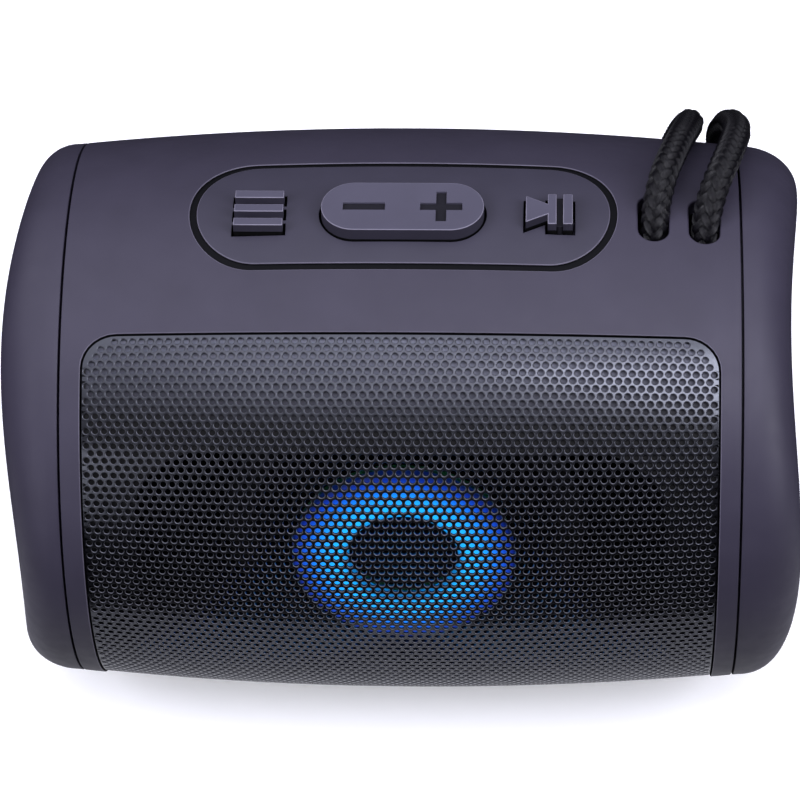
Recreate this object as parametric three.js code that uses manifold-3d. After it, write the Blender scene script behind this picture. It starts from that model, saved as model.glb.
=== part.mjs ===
// Portable barrel-shaped wireless speaker with a cord loop, in millimetres.
// X runs along the barrel, -Y is the front with the grille, and +Z is up.
// The origin is on the ground, under the middle of the barrel.
// Angles round the barrel are in degrees: 0 is the front, 90 the top, 180 the back.

import * as THREE from 'three';
import { mergeVertices } from 'three/addons/utils/BufferGeometryUtils.js';
import Module from 'manifold-3d';

// ---- Driving dimensions ----

const maxRadius = 49;
const profileArcRadius = 570;
const wall = 2.6;
const axisHeight = 50.5;
const gap = 0.3;

const seamX = 56.5;
const seamGap = 0.5;
const capWidth = 9.4;
const shoulderX = 57.6;
const rimDepth = 7.2;
const waveHeight = 1.1;
const waveLobes = 3;
const leftLobeAngle = 62;
const rightLobeAngle = 5;
const capSegments = 36;
const endSegments = 24;

const grilleHalfLength = 52.4;
const grilleHalfWidth = 52.4;
const grilleCorner = 5.5;
const grilleGap = 0.45;
const grilleDrop = 0.3;
const grilleThickness = 0.8;

const panelHalfLength = 35.5;
const panelHalfWidth = 12.8;
const panelEnd = 11;
const panelGroove = 1.2;
const panelGrooveDepth = 0.4;
const panelDepth = 4.4;
const panelFlange = 1.5;

const keyLineY = -1.3;
const keyGap = 0.4;
const keyBaseZ = 41.9;
const keyBaseTopZ = 42.9;
const modeKeyX = -24;
const modeBarLength = 8.2;
const modeBarPitch = 3.25;
const playKeyX = 24.45;
const smallKeyTopZ = 50.3;
const rockerTopZ = 50.8;
const rockerLength = 27.2;
const rockerWidth = 11.2;
const symbolStroke = 1.7;
const symbolSpan = 7;
const symbolDepth = 0.4;
const symbolX = 6.45;

const slotXs = [41.8, 50.3];
const slotWidth = 5.2;
const slotFrontAngle = 83.3;
const slotBackAngle = 96;
const cordRadius = 2.4;
const cordClearance = 0.35;

const footLength = 72;
const footWidth = 8;
const footY = 13;
const footInset = 1;

const driverY = 2.5;
const baffleFrontY = -21;
const baffleThickness = 3;
const turretRadius = 31.5;
const turretBore = 25.9;
const driverScrewCircle = 28.6;
const driverSegments = 24;

const ringFrontY = -35;
const ringInner = 9.3;
const ringOuter = 19;
const ringTallness = 1.1;
const ringSegments = 28;

const portAngle = 205;
const portHalfLength = 11;
const portHalfWidth = 7.1;

// ---- Solids, and joining and cutting them ----

const wasm = await Module();
wasm.setup();

const degrees = Math.PI / 180;

function withoutFlatTriangles(geometry) {
  const old = geometry.index.array;
  const kept = [];
  for (let i = 0; i < old.length; i += 3) {
    const [a, b, c] = [old[i], old[i + 1], old[i + 2]];
    if (a !== b && b !== c && c !== a) kept.push(a, b, c);
  }
  geometry.setIndex(kept);
  return geometry;
}

// Any closed geometry with its shared corners merged and no triangle of zero area.
function closed(geometry) {
  const bare = geometry.clone();
  bare.deleteAttribute('normal');
  bare.deleteAttribute('uv');
  return withoutFlatTriangles(mergeVertices(bare, 1e-4));
}

function toSolid(geometry) {
  const merged = closed(geometry);
  return new wasm.Manifold(new wasm.Mesh({
    numProp: 3,
    vertProperties: new Float32Array(merged.attributes.position.array),
    triVerts: new Uint32Array(merged.index.array),
  }));
}

function toGeometry(solid) {
  const { vertProperties, triVerts } = solid.getMesh();
  const geometry = new THREE.BufferGeometry();
  geometry.setAttribute('position', new THREE.BufferAttribute(vertProperties, 3));
  geometry.setIndex(new THREE.BufferAttribute(triVerts, 1));
  return geometry;
}

function cut(base, ...tools) {
  return toGeometry(tools.reduce((solid, tool) => solid.subtract(toSolid(tool)), toSolid(base)));
}

function join(...parts) {
  return toGeometry(parts.map(toSolid).reduce((solid, next) => solid.add(next)));
}

function common(a, b) {
  return toGeometry(toSolid(a).intersect(toSolid(b)));
}

// ---- Shapes that several pieces share ----

function radiusAt(x) {
  return maxRadius - profileArcRadius + Math.sqrt(profileArcRadius ** 2 - x ** 2);
}

function onBarrel(x, angle, radius) {
  return new THREE.Vector3(
    x,
    -radius * Math.cos(angle * degrees),
    radius * Math.sin(angle * degrees),
  );
}

// A closed profile of [distance along the axis, radius] turned about the Y axis.
function turned(profile, segments) {
  const points = profile.map(([along, radius]) => new THREE.Vector2(radius, along));
  if (THREE.ShapeUtils.area(points) < 0) points.reverse();
  const onAxis = points.findIndex((point) => point.x === 0);
  if (onAxis < 0) {
    points.push(points[0].clone());
  } else {
    while (points[0].x !== 0 || points[points.length - 1].x !== 0) points.push(points.shift());
  }
  return closed(new THREE.LatheGeometry(points, segments));
}

// The same, turned about the barrel's own axis.
function turnedAlongX(profile, segments) {
  return turned(profile, segments).rotateZ(-Math.PI / 2);
}

function barrelStations(halfLength, steps, inset) {
  const stations = [];
  for (let i = 0; i <= steps; i++) {
    const x = -halfLength + (2 * halfLength * i) / steps;
    stations.push([x, radiusAt(x) - inset]);
  }
  return stations;
}

// The solid inside a barrel surface that lies inset below the outside.
function barrelCore(halfLength, steps, inset, segments) {
  const ends = [[halfLength, 0], [-halfLength, 0]];
  return turnedAlongX([...barrelStations(halfLength, steps, inset), ...ends], segments);
}

// Half width, as an angle, of an outline whose ends curve in by drop over the last end mm.
function outline(halfLength, halfWidth, end, drop) {
  return (offset) => {
    const reach = Math.max(0, Math.abs(offset) - (halfLength - end)) / end;
    const halfWidthHere = halfWidth - drop * (1 - Math.sqrt(Math.max(0, 1 - reach ** 2)));
    return halfWidthHere / maxRadius / degrees;
  };
}

// A plate that lies on the barrel, between two depths below its surface.
function barrelPlate({ middleX = 0, angle, halfLength, halfAngle, top, bottom, columns, rows }) {
  const geometry = new THREE.BoxGeometry(1, 1, 1, columns, rows, 1);
  const position = geometry.attributes.position;
  for (let i = 0; i < position.count; i++) {
    const offset = halfLength * Math.sin(Math.PI * position.getX(i));
    const around = angle + 2 * halfAngle(offset) * position.getY(i);
    const depth = position.getZ(i) > 0 ? top : bottom;
    const x = middleX + offset;
    const point = onBarrel(x, around, radiusAt(x) - depth);
    position.setXYZ(i, point.x, point.y, point.z);
  }
  return closed(geometry);
}

function box(x, y, z, middleX = 0, middleY = 0, middleZ = 0) {
  return new THREE.BoxGeometry(x, y, z).translate(middleX, middleY, middleZ);
}

function boxBetween([x0, y0, z0], [x1, y1, z1]) {
  return box(x1 - x0, y1 - y0, z1 - z0, (x0 + x1) / 2, (y0 + y1) / 2, (z0 + z1) / 2);
}

function stadium(length, width, arcSteps = 7) {
  const radius = width / 2;
  const reach = length / 2 - radius;
  const points = [];
  for (const [side, start] of [[1, -90], [-1, 90]]) {
    for (let i = 0; i <= arcSteps; i++) {
      const turn = (start + (180 * i) / arcSteps) * degrees;
      points.push(new THREE.Vector2(side * reach + radius * Math.cos(turn), radius * Math.sin(turn)));
    }
  }
  return points;
}

function rectangle(width, height, middleX = 0, middleY = 0) {
  return [[-1, -1], [1, -1], [1, 1], [-1, 1]].map(
    ([sideX, sideY]) => new THREE.Vector2(middleX + (sideX * width) / 2, middleY + (sideY * height) / 2),
  );
}

// An outline in X and Y raised from one height to another.
function raised(points, bottomZ, topZ) {
  const options = { depth: topZ - bottomZ, bevelEnabled: false, steps: 1 };
  return closed(new THREE.ExtrudeGeometry(new THREE.Shape(points), options).translate(0, 0, bottomZ));
}

function tube(curve, radius, sides, steps) {
  const points = [];
  for (let i = 0; i < sides; i++) {
    const turn = (2 * Math.PI * i) / sides;
    points.push(new THREE.Vector2(radius * Math.cos(turn), radius * Math.sin(turn)));
  }
  const options = { steps, bevelEnabled: false, extrudePath: curve };
  return closed(new THREE.ExtrudeGeometry(new THREE.Shape(points), options));
}

// ---- Materials ----

function finish(color, roughness, metalness) {
  return new THREE.MeshStandardMaterial({ color, roughness, metalness, flatShading: true });
}

const casing = finish(0x47444f, 0.55, 0);
const keyPlastic = finish(0x5c596a, 0.5, 0);
const blackPlastic = finish(0x141416, 0.6, 0);
const grilleSteel = finish(0x17171a, 0.3, 0.8);
const blackRubber = finish(0x1b1b1d, 0.85, 0);
const cordNylon = finish(0x16161a, 0.7, 0);
const diffuserPlastic = finish(0x2fb4f0, 0.4, 0);
const paperCone = finish(0x202022, 0.9, 0);
const spiderCloth = finish(0xa88a4a, 0.95, 0);
const plainSteel = finish(0x9a9ca0, 0.4, 0.9);
const ferrite = finish(0x2c2c2e, 0.6, 0.3);
const boardGreen = finish(0x0f4a2c, 0.5, 0);
const chipBlack = finish(0x1a1a1c, 0.45, 0);
const copperWire = finish(0xb4672e, 0.4, 0.9);
const cellWrap = finish(0x2f5fa8, 0.45, 0);

function piece(name, geometry, material) {
  const mesh = new THREE.Mesh(geometry, material);
  mesh.name = name;
  return mesh;
}

// ---- The cord's route: [x, angle, radius], out of one slot, round the back and into the other ----

const cordRoute = [
  [41.8, 86.4, 38.9],
  [41.8, 86.5, 40.6],
  [41.9, 87.6, 44],
  [42.1, 89.9, 47.1],
  [42.6, 93, 49.4],
  [43.4, 96.7, 50.9],
  [44.4, 100.8, 51.4],
  [46.1, 108.5, 51.4],
  [47.4, 115.5, 51],
  [48.6, 128, 50.3],
  [48.3, 136, 49.9],
  [47.2, 149, 49.9],
  [45.3, 164, 50.5],
  [42.7, 180, 51.8],
  [40.4, 193, 53.9],
  [39.6, 201.5, 56.6],
  [39.6, 209.4, 60.6],
  [41, 213.7, 63.2],
  [44.8, 216.6, 65.2],
  [50.1, 217.7, 65.9],
  [55.4, 216.6, 65.2],
  [59.2, 213.7, 63.2],
  [60.6, 209.4, 60.6],
  [60.6, 201.5, 56.6],
  [60, 193, 53.9],
  [58.1, 180, 51.4],
  [55.4, 165, 50.1],
  [54.3, 152, 49.9],
  [54.8, 140, 49.9],
  [55.8, 132, 50.2],
  [56.4, 118, 50.9],
  [55.5, 109, 51.4],
  [53.8, 100.8, 51.4],
  [52.6, 96.7, 50.9],
  [51.5, 93, 49.4],
  [50.7, 89.9, 47.1],
  [50.4, 87.6, 44],
  [50.3, 86.5, 40.6],
  [50.3, 86.4, 38.9],
];
const cordSides = 8;
const cordSteps = 50;
const cordCurve = new THREE.CatmullRomCurve3(cordRoute.map((stop) => onBarrel(...stop)));

// ---- Casing ----

const bodyEnd = seamX - seamGap / 2;
const casingSegments = 48;

function footPrism(side, grow, topZ) {
  const points = stadium(footLength + 2 * grow, footWidth + 2 * grow, 5);
  return raised(points, -axisHeight, topZ).translate(0, side * footY, 0);
}

function footGroove(side) {
  const core = barrelCore(seamX, 6, footInset + gap, casingSegments);
  return cut(footPrism(side, gap, -maxRadius / 2), core);
}

function slotCutter(middleX) {
  const angle = (slotFrontAngle + slotBackAngle) / 2;
  const halfAngle = (slotBackAngle - slotFrontAngle) / 2;
  const halfWidth = slotWidth / 2;
  return barrelPlate({
    middleX,
    angle,
    halfLength: halfWidth,
    halfAngle: outline(halfWidth, halfAngle * degrees * maxRadius, halfWidth, halfWidth),
    top: -4,
    bottom: wall + 2,
    columns: 8,
    rows: 2,
  });
}

// The room that the cord itself needs where it leaves the slots.
function cordRoom(first, last) {
  const stops = cordRoute.slice(first, last).map((stop) => onBarrel(...stop));
  return tube(new THREE.CatmullRomCurve3(stops), cordRadius + cordClearance, 8, 8);
}

function makeBodyShell() {
  const inside = barrelStations(bodyEnd, 4, wall).reverse();
  const barrel = turnedAlongX([...barrelStations(bodyEnd, 8, 0), ...inside], casingSegments);
  const portBoss = barrelPlate({
    angle: portAngle,
    halfLength: portHalfLength + 4,
    halfAngle: () => 13,
    top: 1.2,
    bottom: 5,
    columns: 2,
    rows: 4,
  });
  const grilleOpening = barrelPlate({
    angle: 0,
    halfLength: grilleHalfLength + grilleGap,
    halfAngle: outline(
      grilleHalfLength + grilleGap,
      grilleHalfWidth + grilleGap,
      grilleCorner + grilleGap,
      grilleCorner + grilleGap,
    ),
    top: -5,
    bottom: 9,
    columns: 16,
    rows: 8,
  });
  const panelOpening = barrelPlate({
    angle: 90,
    halfLength: panelHalfLength,
    halfAngle: outline(panelHalfLength, panelHalfWidth, panelEnd, panelHalfWidth - 0.4),
    top: -5,
    bottom: 8,
    columns: 16,
    rows: 2,
  });
  const portRecess = barrelPlate({
    angle: portAngle,
    halfLength: portHalfLength + gap,
    halfAngle: outline(portHalfLength + gap, portHalfWidth + gap, 3, 3),
    top: -4,
    bottom: 2,
    columns: 10,
    rows: 2,
  });
  const portMouth = barrelPlate({
    angle: portAngle,
    halfLength: portHalfLength - 2,
    halfAngle: outline(portHalfLength - 2, 3.6, 2, 2),
    top: -4,
    bottom: 9,
    columns: 8,
    rows: 1,
  });
  return cut(
    join(barrel, portBoss),
    grilleOpening,
    panelOpening,
    portRecess,
    portMouth,
    footGroove(-1),
    footGroove(1),
    ...slotXs.map(slotCutter),
    cordRoom(0, 7),
    cordRoom(-7),
  );
}

const capStart = seamX + seamGap / 2;
const capEnd = seamX + capWidth;
const spigotStart = 54;
const ledgeX = 59.5;
const ledgeRadius = 31;

function makeEndCap(lobeAngle) {
  const profile = [[capStart, radiusAt(capStart)]];
  for (let i = 0; i <= 5; i++) {
    const turn = 18 * i * degrees;
    const x = shoulderX + (capEnd - shoulderX) * Math.sin(turn);
    profile.push([x, radiusAt(shoulderX) - rimDepth * (1 - Math.cos(turn))]);
  }
  profile.push(
    [capEnd - 0.2, 38.2],
    [capEnd - 1.4, 37],
    [ledgeX, 34.8],
    [ledgeX, ledgeRadius],
    [57.5, ledgeRadius],
    [57.5, 40.4],
    [spigotStart, 40.4],
    [spigotStart, 43],
    [54.9, 43],
    [54.9, 42],
    [56.4, 42],
    [56.4, 43],
    [capStart, 43],
  );
  const geometry = turnedAlongX(profile, capSegments);
  const position = geometry.attributes.position;
  for (let i = 0; i < position.count; i++) {
    const around = Math.atan2(position.getZ(i), -position.getY(i));
    const share = Math.max(0, position.getX(i) - ledgeX) / (capEnd - ledgeX);
    const wave = waveHeight * Math.cos(waveLobes * (around - lobeAngle * degrees));
    position.setX(i, position.getX(i) + share * wave);
  }
  return geometry;
}

function makeSealRing() {
  const profile = [];
  for (let i = 0; i < 6; i++) {
    const turn = 60 * i * degrees;
    profile.push([55.65 + 0.5 * Math.cos(turn), 42.85 + 0.5 * Math.sin(turn)]);
  }
  return turnedAlongX(profile, endSegments);
}

function makeRadiatorDisc() {
  const back = [[56.6, 0], [56.6, 17], [55.8, 19], [55.8, 21.6]];
  const front = [[60.2, 21.6], [60.2, 19.5], [59.2, 18.5], [59.2, 0]];
  return turnedAlongX([...back, ...front], endSegments);
}

function makeRadiatorSurround() {
  const profile = [[58.2, 22], [60.2, 22]];
  for (let i = 1; i < 5; i++) {
    const turn = (180 - 36 * i) * degrees;
    profile.push([60.2 + 2.6 * Math.sin(turn), 25.6 + 3 * Math.cos(turn)]);
  }
  profile.push([60.8, 29.2], [60.8, 34.2], [59.8, 34.2], [59.8, 28.4]);
  for (let i = 1; i < 4; i++) {
    const turn = 45 * i * degrees;
    profile.push([59.6 + 2 * Math.sin(turn), 25.6 + 2.2 * Math.cos(turn)]);
  }
  profile.push([58.2, 22.9]);
  return turnedAlongX(profile, endSegments);
}

// One end of the speaker, built at +X.
function makeEnd(side, lobeAngle) {
  const end = new THREE.Group();
  end.add(
    piece(`${side}_end_cap`, makeEndCap(lobeAngle), casing),
    piece(`${side}_seal_ring`, makeSealRing(), blackRubber),
    piece(`${side}_radiator_disc`, makeRadiatorDisc(), grilleSteel),
    piece(`${side}_radiator_surround`, makeRadiatorSurround(), blackRubber),
  );
  return end;
}

function makeFoot(side) {
  const core = barrelCore(seamX, 6, footInset, casingSegments);
  return cut(footPrism(side, 0, -maxRadius / 2), core, box(200, 200, 40, 0, 0, -22));
}

// ---- Grille ----

function grillePlate(grow, top, bottom, columns, rows) {
  return barrelPlate({
    angle: 0,
    halfLength: grilleHalfLength + grow,
    halfAngle: outline(
      grilleHalfLength + grow,
      grilleHalfWidth + grow,
      grilleCorner + grow,
      grilleCorner + grow,
    ),
    top,
    bottom,
    columns,
    rows,
  });
}

const grilleBack = grilleDrop + grilleThickness;

function makeGrilleFrame() {
  const outer = grillePlate(0, grilleBack + gap, grilleBack + 2.1, 12, 10);
  const window = grillePlate(-2, -2, 8, 12, 10);
  return cut(outer, window);
}

// ---- Control panel and keys ----

function panelPlate(inset, top, bottom) {
  return barrelPlate({
    angle: 90,
    halfLength: panelHalfLength - inset,
    halfAngle: outline(
      panelHalfLength - inset,
      panelHalfWidth - inset,
      panelEnd - inset / 2,
      panelHalfWidth - inset - 0.4,
    ),
    top,
    bottom,
    columns: 12,
    rows: 4,
  });
}

function modeBars(grow) {
  const length = modeBarLength + 2 * grow;
  const width = symbolStroke + 2 * grow;
  return [-modeBarPitch, 0, modeBarPitch].map(
    (y) => rectangle(length, width, modeKeyX, keyLineY + y),
  );
}

// A triangle that runs into the first of two bars.
function playOutline(grow) {
  const corners = [
    [-3.9 - grow, -3.1 - 1.4 * grow],
    [-0.25 - grow, -1.2 - grow],
    [-0.25 - grow, -3.5 - grow],
    [3.9 + grow, -3.5 - grow],
    [3.9 + grow, 3.5 + grow],
    [-0.25 - grow, 3.5 + grow],
    [-0.25 - grow, 1.2 + grow],
    [-3.9 - grow, 3.1 + 1.4 * grow],
  ];
  return corners.map(([x, y]) => new THREE.Vector2(playKeyX + x, keyLineY + y));
}

function rockerOutline(grow) {
  const points = stadium(rockerLength + 2 * grow, rockerWidth + 2 * grow);
  return points.map((point) => point.add(new THREE.Vector2(0, keyLineY)));
}

function makeControlPanel() {
  const holes = [...modeBars(keyGap), playOutline(keyGap), rockerOutline(keyGap)];
  return cut(
    join(
      panelPlate(panelGroove, 0, panelDepth),
      panelPlate(gap, panelGrooveDepth, panelDepth),
      panelPlate(-1.7, panelDepth - panelFlange, panelDepth),
    ),
    ...holes.map((points) => raised(points, 38, 56)),
  );
}

function makeModeKey() {
  const base = raised(rectangle(10.4, 10.4, modeKeyX, keyLineY), keyBaseZ, keyBaseTopZ);
  return join(base, ...modeBars(0).map((points) => raised(points, keyBaseZ + 0.4, smallKeyTopZ)));
}

function makePlayKey() {
  const base = raised(rectangle(9.8, 9, playKeyX, keyLineY), keyBaseZ, keyBaseTopZ);
  const glyph = raised(playOutline(0), keyBaseZ + 0.4, smallKeyTopZ);
  const stripe = raised(rectangle(1.1, 9, playKeyX + 1.75, keyLineY), smallKeyTopZ - 0.9, smallKeyTopZ + 1);
  return cut(join(base, glyph), stripe);
}

function makeVolumeRocker() {
  const pad = raised(rockerOutline(0), keyBaseZ, rockerTopZ);
  const ears = raised(rectangle(8, rockerWidth + 3.2, 0, keyLineY), keyBaseZ, keyBaseTopZ);
  const floor = rockerTopZ - symbolDepth;
  const marks = [
    rectangle(symbolSpan, symbolStroke, -symbolX, keyLineY),
    rectangle(symbolSpan, symbolStroke, symbolX, keyLineY),
    rectangle(symbolStroke, symbolSpan, symbolX, keyLineY),
  ];
  return cut(join(pad, ears), ...marks.map((points) => raised(points, floor, rockerTopZ + 1)));
}

const keyBoardTopZ = 38.6;

function makeSwitch(x) {
  const body = box(4.5, 4.5, 1.6, x, keyLineY, keyBoardTopZ + gap + 0.8);
  const stem = new THREE.CylinderGeometry(1.1, 1.1, 1, 12).rotateX(Math.PI / 2);
  return join(body, stem.translate(x, keyLineY, keyBoardTopZ + gap + 1.7));
}

// ---- Strap pocket ----

const pocketLow = [37.9, -8.2, 33.5];
const pocketHigh = [53.6, 9, 47];
const pinY = -2.5;
const pinZ = 37.3;

function makeStrapPocket() {
  const outside = common(
    boxBetween(pocketLow, pocketHigh),
    barrelCore(bodyEnd, 6, wall + gap, casingSegments),
  );
  return cut(outside, boxBetween([38.9, -7.2, 34.7], [53, 8, 50]));
}

function makeStrapPin() {
  const pin = new THREE.CylinderGeometry(1.5, 1.5, 13.4, 16).rotateZ(Math.PI / 2);
  return pin.translate(45.95, pinY, pinZ);
}

// ---- Baffle, light ring and driver ----

const baffleBackY = baffleFrontY + baffleThickness;

function makeBaffle() {
  const reach = 53.1;
  const steps = 6;
  const points = [];
  for (const side of [-1, 1]) {
    for (let i = 0; i <= steps; i++) {
      const x = side * (-reach + (2 * reach * i) / steps);
      const inside = radiusAt(x) - wall - 0.4;
      points.push(new THREE.Vector2(x, -side * Math.sqrt(inside ** 2 - baffleFrontY ** 2)));
    }
  }
  const plate = raised(points, 0, baffleThickness).rotateX(Math.PI / 2).translate(0, baffleBackY, 0);
  const turretFrontY = driverY - 28;
  const turretBackY = baffleBackY - 1;
  const turret = turned([
    [turretFrontY, 20],
    [turretFrontY, turretRadius],
    [turretBackY, turretRadius],
    [turretBackY, 20],
  ], driverSegments);
  const bore = turned([[-40, 0], [-40, turretBore], [0, turretBore], [0, 0]], driverSegments);
  const screwHoles = driverScrewPlaces().map(([x, z]) => rod(1.3, 12, x, -23, z));
  return cut(join(plate, turret), bore, ...screwHoles);
}

// A round bar along Y.
function rod(radius, length, x, y, z) {
  return new THREE.CylinderGeometry(radius, radius, length, 12).translate(x, y, z);
}

function driverScrewPlaces() {
  return [45, 135, 225, 315].map((turn) => [
    driverScrewCircle * Math.cos(turn * degrees),
    driverScrewCircle * Math.sin(turn * degrees),
  ]);
}

function makeBasket() {
  const outside = [[-29.5, 24.3], [-29.5, 31], [-28.3, 31], [-28.3, 25.5], [-13, 16.5]];
  const inside = [[-13, 9.5], [-14.2, 9.5], [-14.2, 15.8], [-28, 24.3]];
  const shell = turned([...outside, ...inside], driverSegments);
  const windows = [box(80, 8, 13, 0, -20.5, 0), box(13, 8, 80, 0, -20.5, 0)];
  const screwHoles = driverScrewPlaces().map(([x, z]) => rod(1.3, 6, x, -29, z));
  return cut(shell, ...windows, ...screwHoles);
}

function makeDriverSurround() {
  const front = [[-30.2, 20.4], [-31, 20.8], [-31.6, 21.8], [-31.3, 22.8], [-30.6, 23.4], [-30.6, 26]];
  const back = [[-29.8, 26], [-29.8, 23.1], [-30.9, 21.8], [-29.8, 20.8], [-29.6, 20.4]];
  return turned([...front, ...back], driverSegments);
}

function makeCone() {
  const back = [[-30.2, 20], [-29.6, 20], [-25, 14.4], [-19.5, 8.2]];
  const front = [[-19.5, 7.5], [-20.2, 7.5], [-25.6, 13.6], [-30.2, 19.2]];
  return turned([...back, ...front], driverSegments);
}

function makeDustCap() {
  return turned([[-23.6, 0], [-22.9, 3.8], [-20.8, 7.1], [-20.2, 7.1], [-22.3, 3.8], [-23, 0]], 18);
}

function makeVoiceCoil() {
  return turned([[-19.8, 6.6], [-19.8, 7.2], [-8, 7.2], [-8, 6.6]], 20);
}

function makeSpider() {
  const profile = [];
  const ridges = 4;
  for (let i = 0; i <= ridges; i++) {
    profile.push([-15.4 + (i % 2) * 0.5, 7.6 + (7.8 * i) / ridges]);
  }
  for (let i = ridges; i >= 0; i--) {
    profile.push([-14.9 + (i % 2) * 0.5, 7.6 + (7.8 * i) / ridges]);
  }
  return turned(profile, 20);
}

function makeTopPlate() {
  return turned([[-12.6, 8], [-12.6, 15], [-9.6, 15], [-9.6, 8]], driverSegments);
}

function makeMagnet() {
  return turned([[-9.3, 9.5], [-9.3, 17], [-3.3, 17], [-3.3, 9.5]], driverSegments);
}

function makeYoke() {
  const profile = [[-12.4, 0], [-12.4, 6.2], [-3, 6.2], [-3, 15.5], [0, 15.5], [0, 0]];
  return turned(profile, driverSegments);
}

function makeDriverScrew([x, z]) {
  const profile = [[-31.2, 0], [-31.2, 1.4], [-30.6, 2], [-29.8, 2], [-29.8, 1], [-21.5, 1], [-20.8, 0]];
  return turned(profile, 10).translate(x, 0, z);
}

function makeDriver() {
  const driver = new THREE.Group();
  driver.position.y = driverY;
  driver.add(
    piece('driver_basket', makeBasket(), plainSteel),
    piece('driver_surround', makeDriverSurround(), blackRubber),
    piece('driver_cone', makeCone(), paperCone),
    piece('driver_dust_cap', makeDustCap(), paperCone),
    piece('driver_voice_coil', makeVoiceCoil(), copperWire),
    piece('driver_spider', makeSpider(), spiderCloth),
    piece('driver_top_plate', makeTopPlate(), plainSteel),
    piece('driver_magnet', makeMagnet(), ferrite),
    piece('driver_yoke', makeYoke(), plainSteel),
  );
  driverScrewPlaces().forEach((place, i) => {
    driver.add(piece(`driver_screw_${i + 1}`, makeDriverScrew(place), plainSteel));
  });
  return driver;
}

// The ring and what carries it are a little taller than they are wide.
function tallRing(profile) {
  return turned(profile, ringSegments).scale(1, 1, ringTallness);
}

function makeLightRing() {
  const backY = ringFrontY + 1.6;
  return tallRing([
    [ringFrontY, ringInner + 0.5],
    [ringFrontY, ringOuter - 0.5],
    [ringFrontY + 0.5, ringOuter],
    [backY, ringOuter],
    [backY, ringInner],
    [ringFrontY + 0.5, ringInner],
  ]);
}

const ringBoardY = ringFrontY + 1.6 + gap;
const ringBridgeY = ringBoardY + 1 + gap;

function makeLightRingBoard() {
  const backY = ringBoardY + 1;
  const [inner, outer] = [ringInner + 0.2, ringOuter - 0.2];
  return tallRing([[ringBoardY, inner], [ringBoardY, outer], [backY, outer], [backY, inner]]);
}

function makeLightRingBridge() {
  const backY = ringBridgeY + 1.2;
  const [inner, outer] = [ringInner - 0.3, ringOuter + 1.1];
  const ring = tallRing([[ringBridgeY, inner], [ringBridgeY, outer], [backY, outer], [backY, inner]]);
  const armEnd = 30.4;
  const arms = [90, 210, 330].map((turn) => join(
    boxBetween([outer - 1, ringBridgeY, -2], [armEnd, backY, 2]),
    boxBetween([armEnd - 2.8, ringBridgeY, -2], [armEnd, driverY - 29.5 - gap, 2]),
  ).rotateY(-turn * degrees));
  return join(ring, ...arms);
}

// ---- Electronics ----

function makeCell() {
  return new THREE.CylinderGeometry(9.2, 9.2, 65.2, 24).rotateZ(Math.PI / 2).translate(0, 24, 8);
}

function makeCellCradle() {
  const block = boxBetween([-36, 13.4, -6], [36, 34.6, 6.5]);
  const cell = new THREE.CylinderGeometry(9.5, 9.5, 65.8, 24).rotateZ(Math.PI / 2).translate(0, 24, 8);
  return cut(block, cell);
}

function makeChargeSocket() {
  const body = boxBetween([-9, 35.4, -1.9], [0, 43, 1.5]);
  return cut(body, boxBetween([-8.5, 37, -1.4], [-0.5, 44, 1]));
}

function makeAuxSocket() {
  const body = boxBetween([2.2, 33, -1.9], [8.4, 43, 3.4]);
  const bore = new THREE.CylinderGeometry(1.8, 1.8, 16, 16).translate(5.3, 43, 0.7);
  return cut(body, bore);
}

function makePort() {
  const port = new THREE.Group();
  port.rotation.x = (180 - portAngle) * degrees;
  port.add(
    piece('port_board', boxBetween([-12, 31, -3.4], [12, 42.4, -2.2]), boardGreen),
    piece('charge_socket', makeChargeSocket(), plainSteel),
    piece('aux_socket', makeAuxSocket(), blackPlastic),
  );
  return port;
}

function makePortCover() {
  return barrelPlate({
    angle: portAngle,
    halfLength: portHalfLength,
    halfAngle: outline(portHalfLength, portHalfWidth, 2.7, 2.7),
    top: 0.1,
    bottom: 1.7,
    columns: 10,
    rows: 4,
  });
}

// ---- Assembly ----

const speaker = new THREE.Group();
speaker.position.z = axisHeight;

const leftEnd = makeEnd('left', 180 - leftLobeAngle);
leftEnd.rotation.z = Math.PI;

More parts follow.
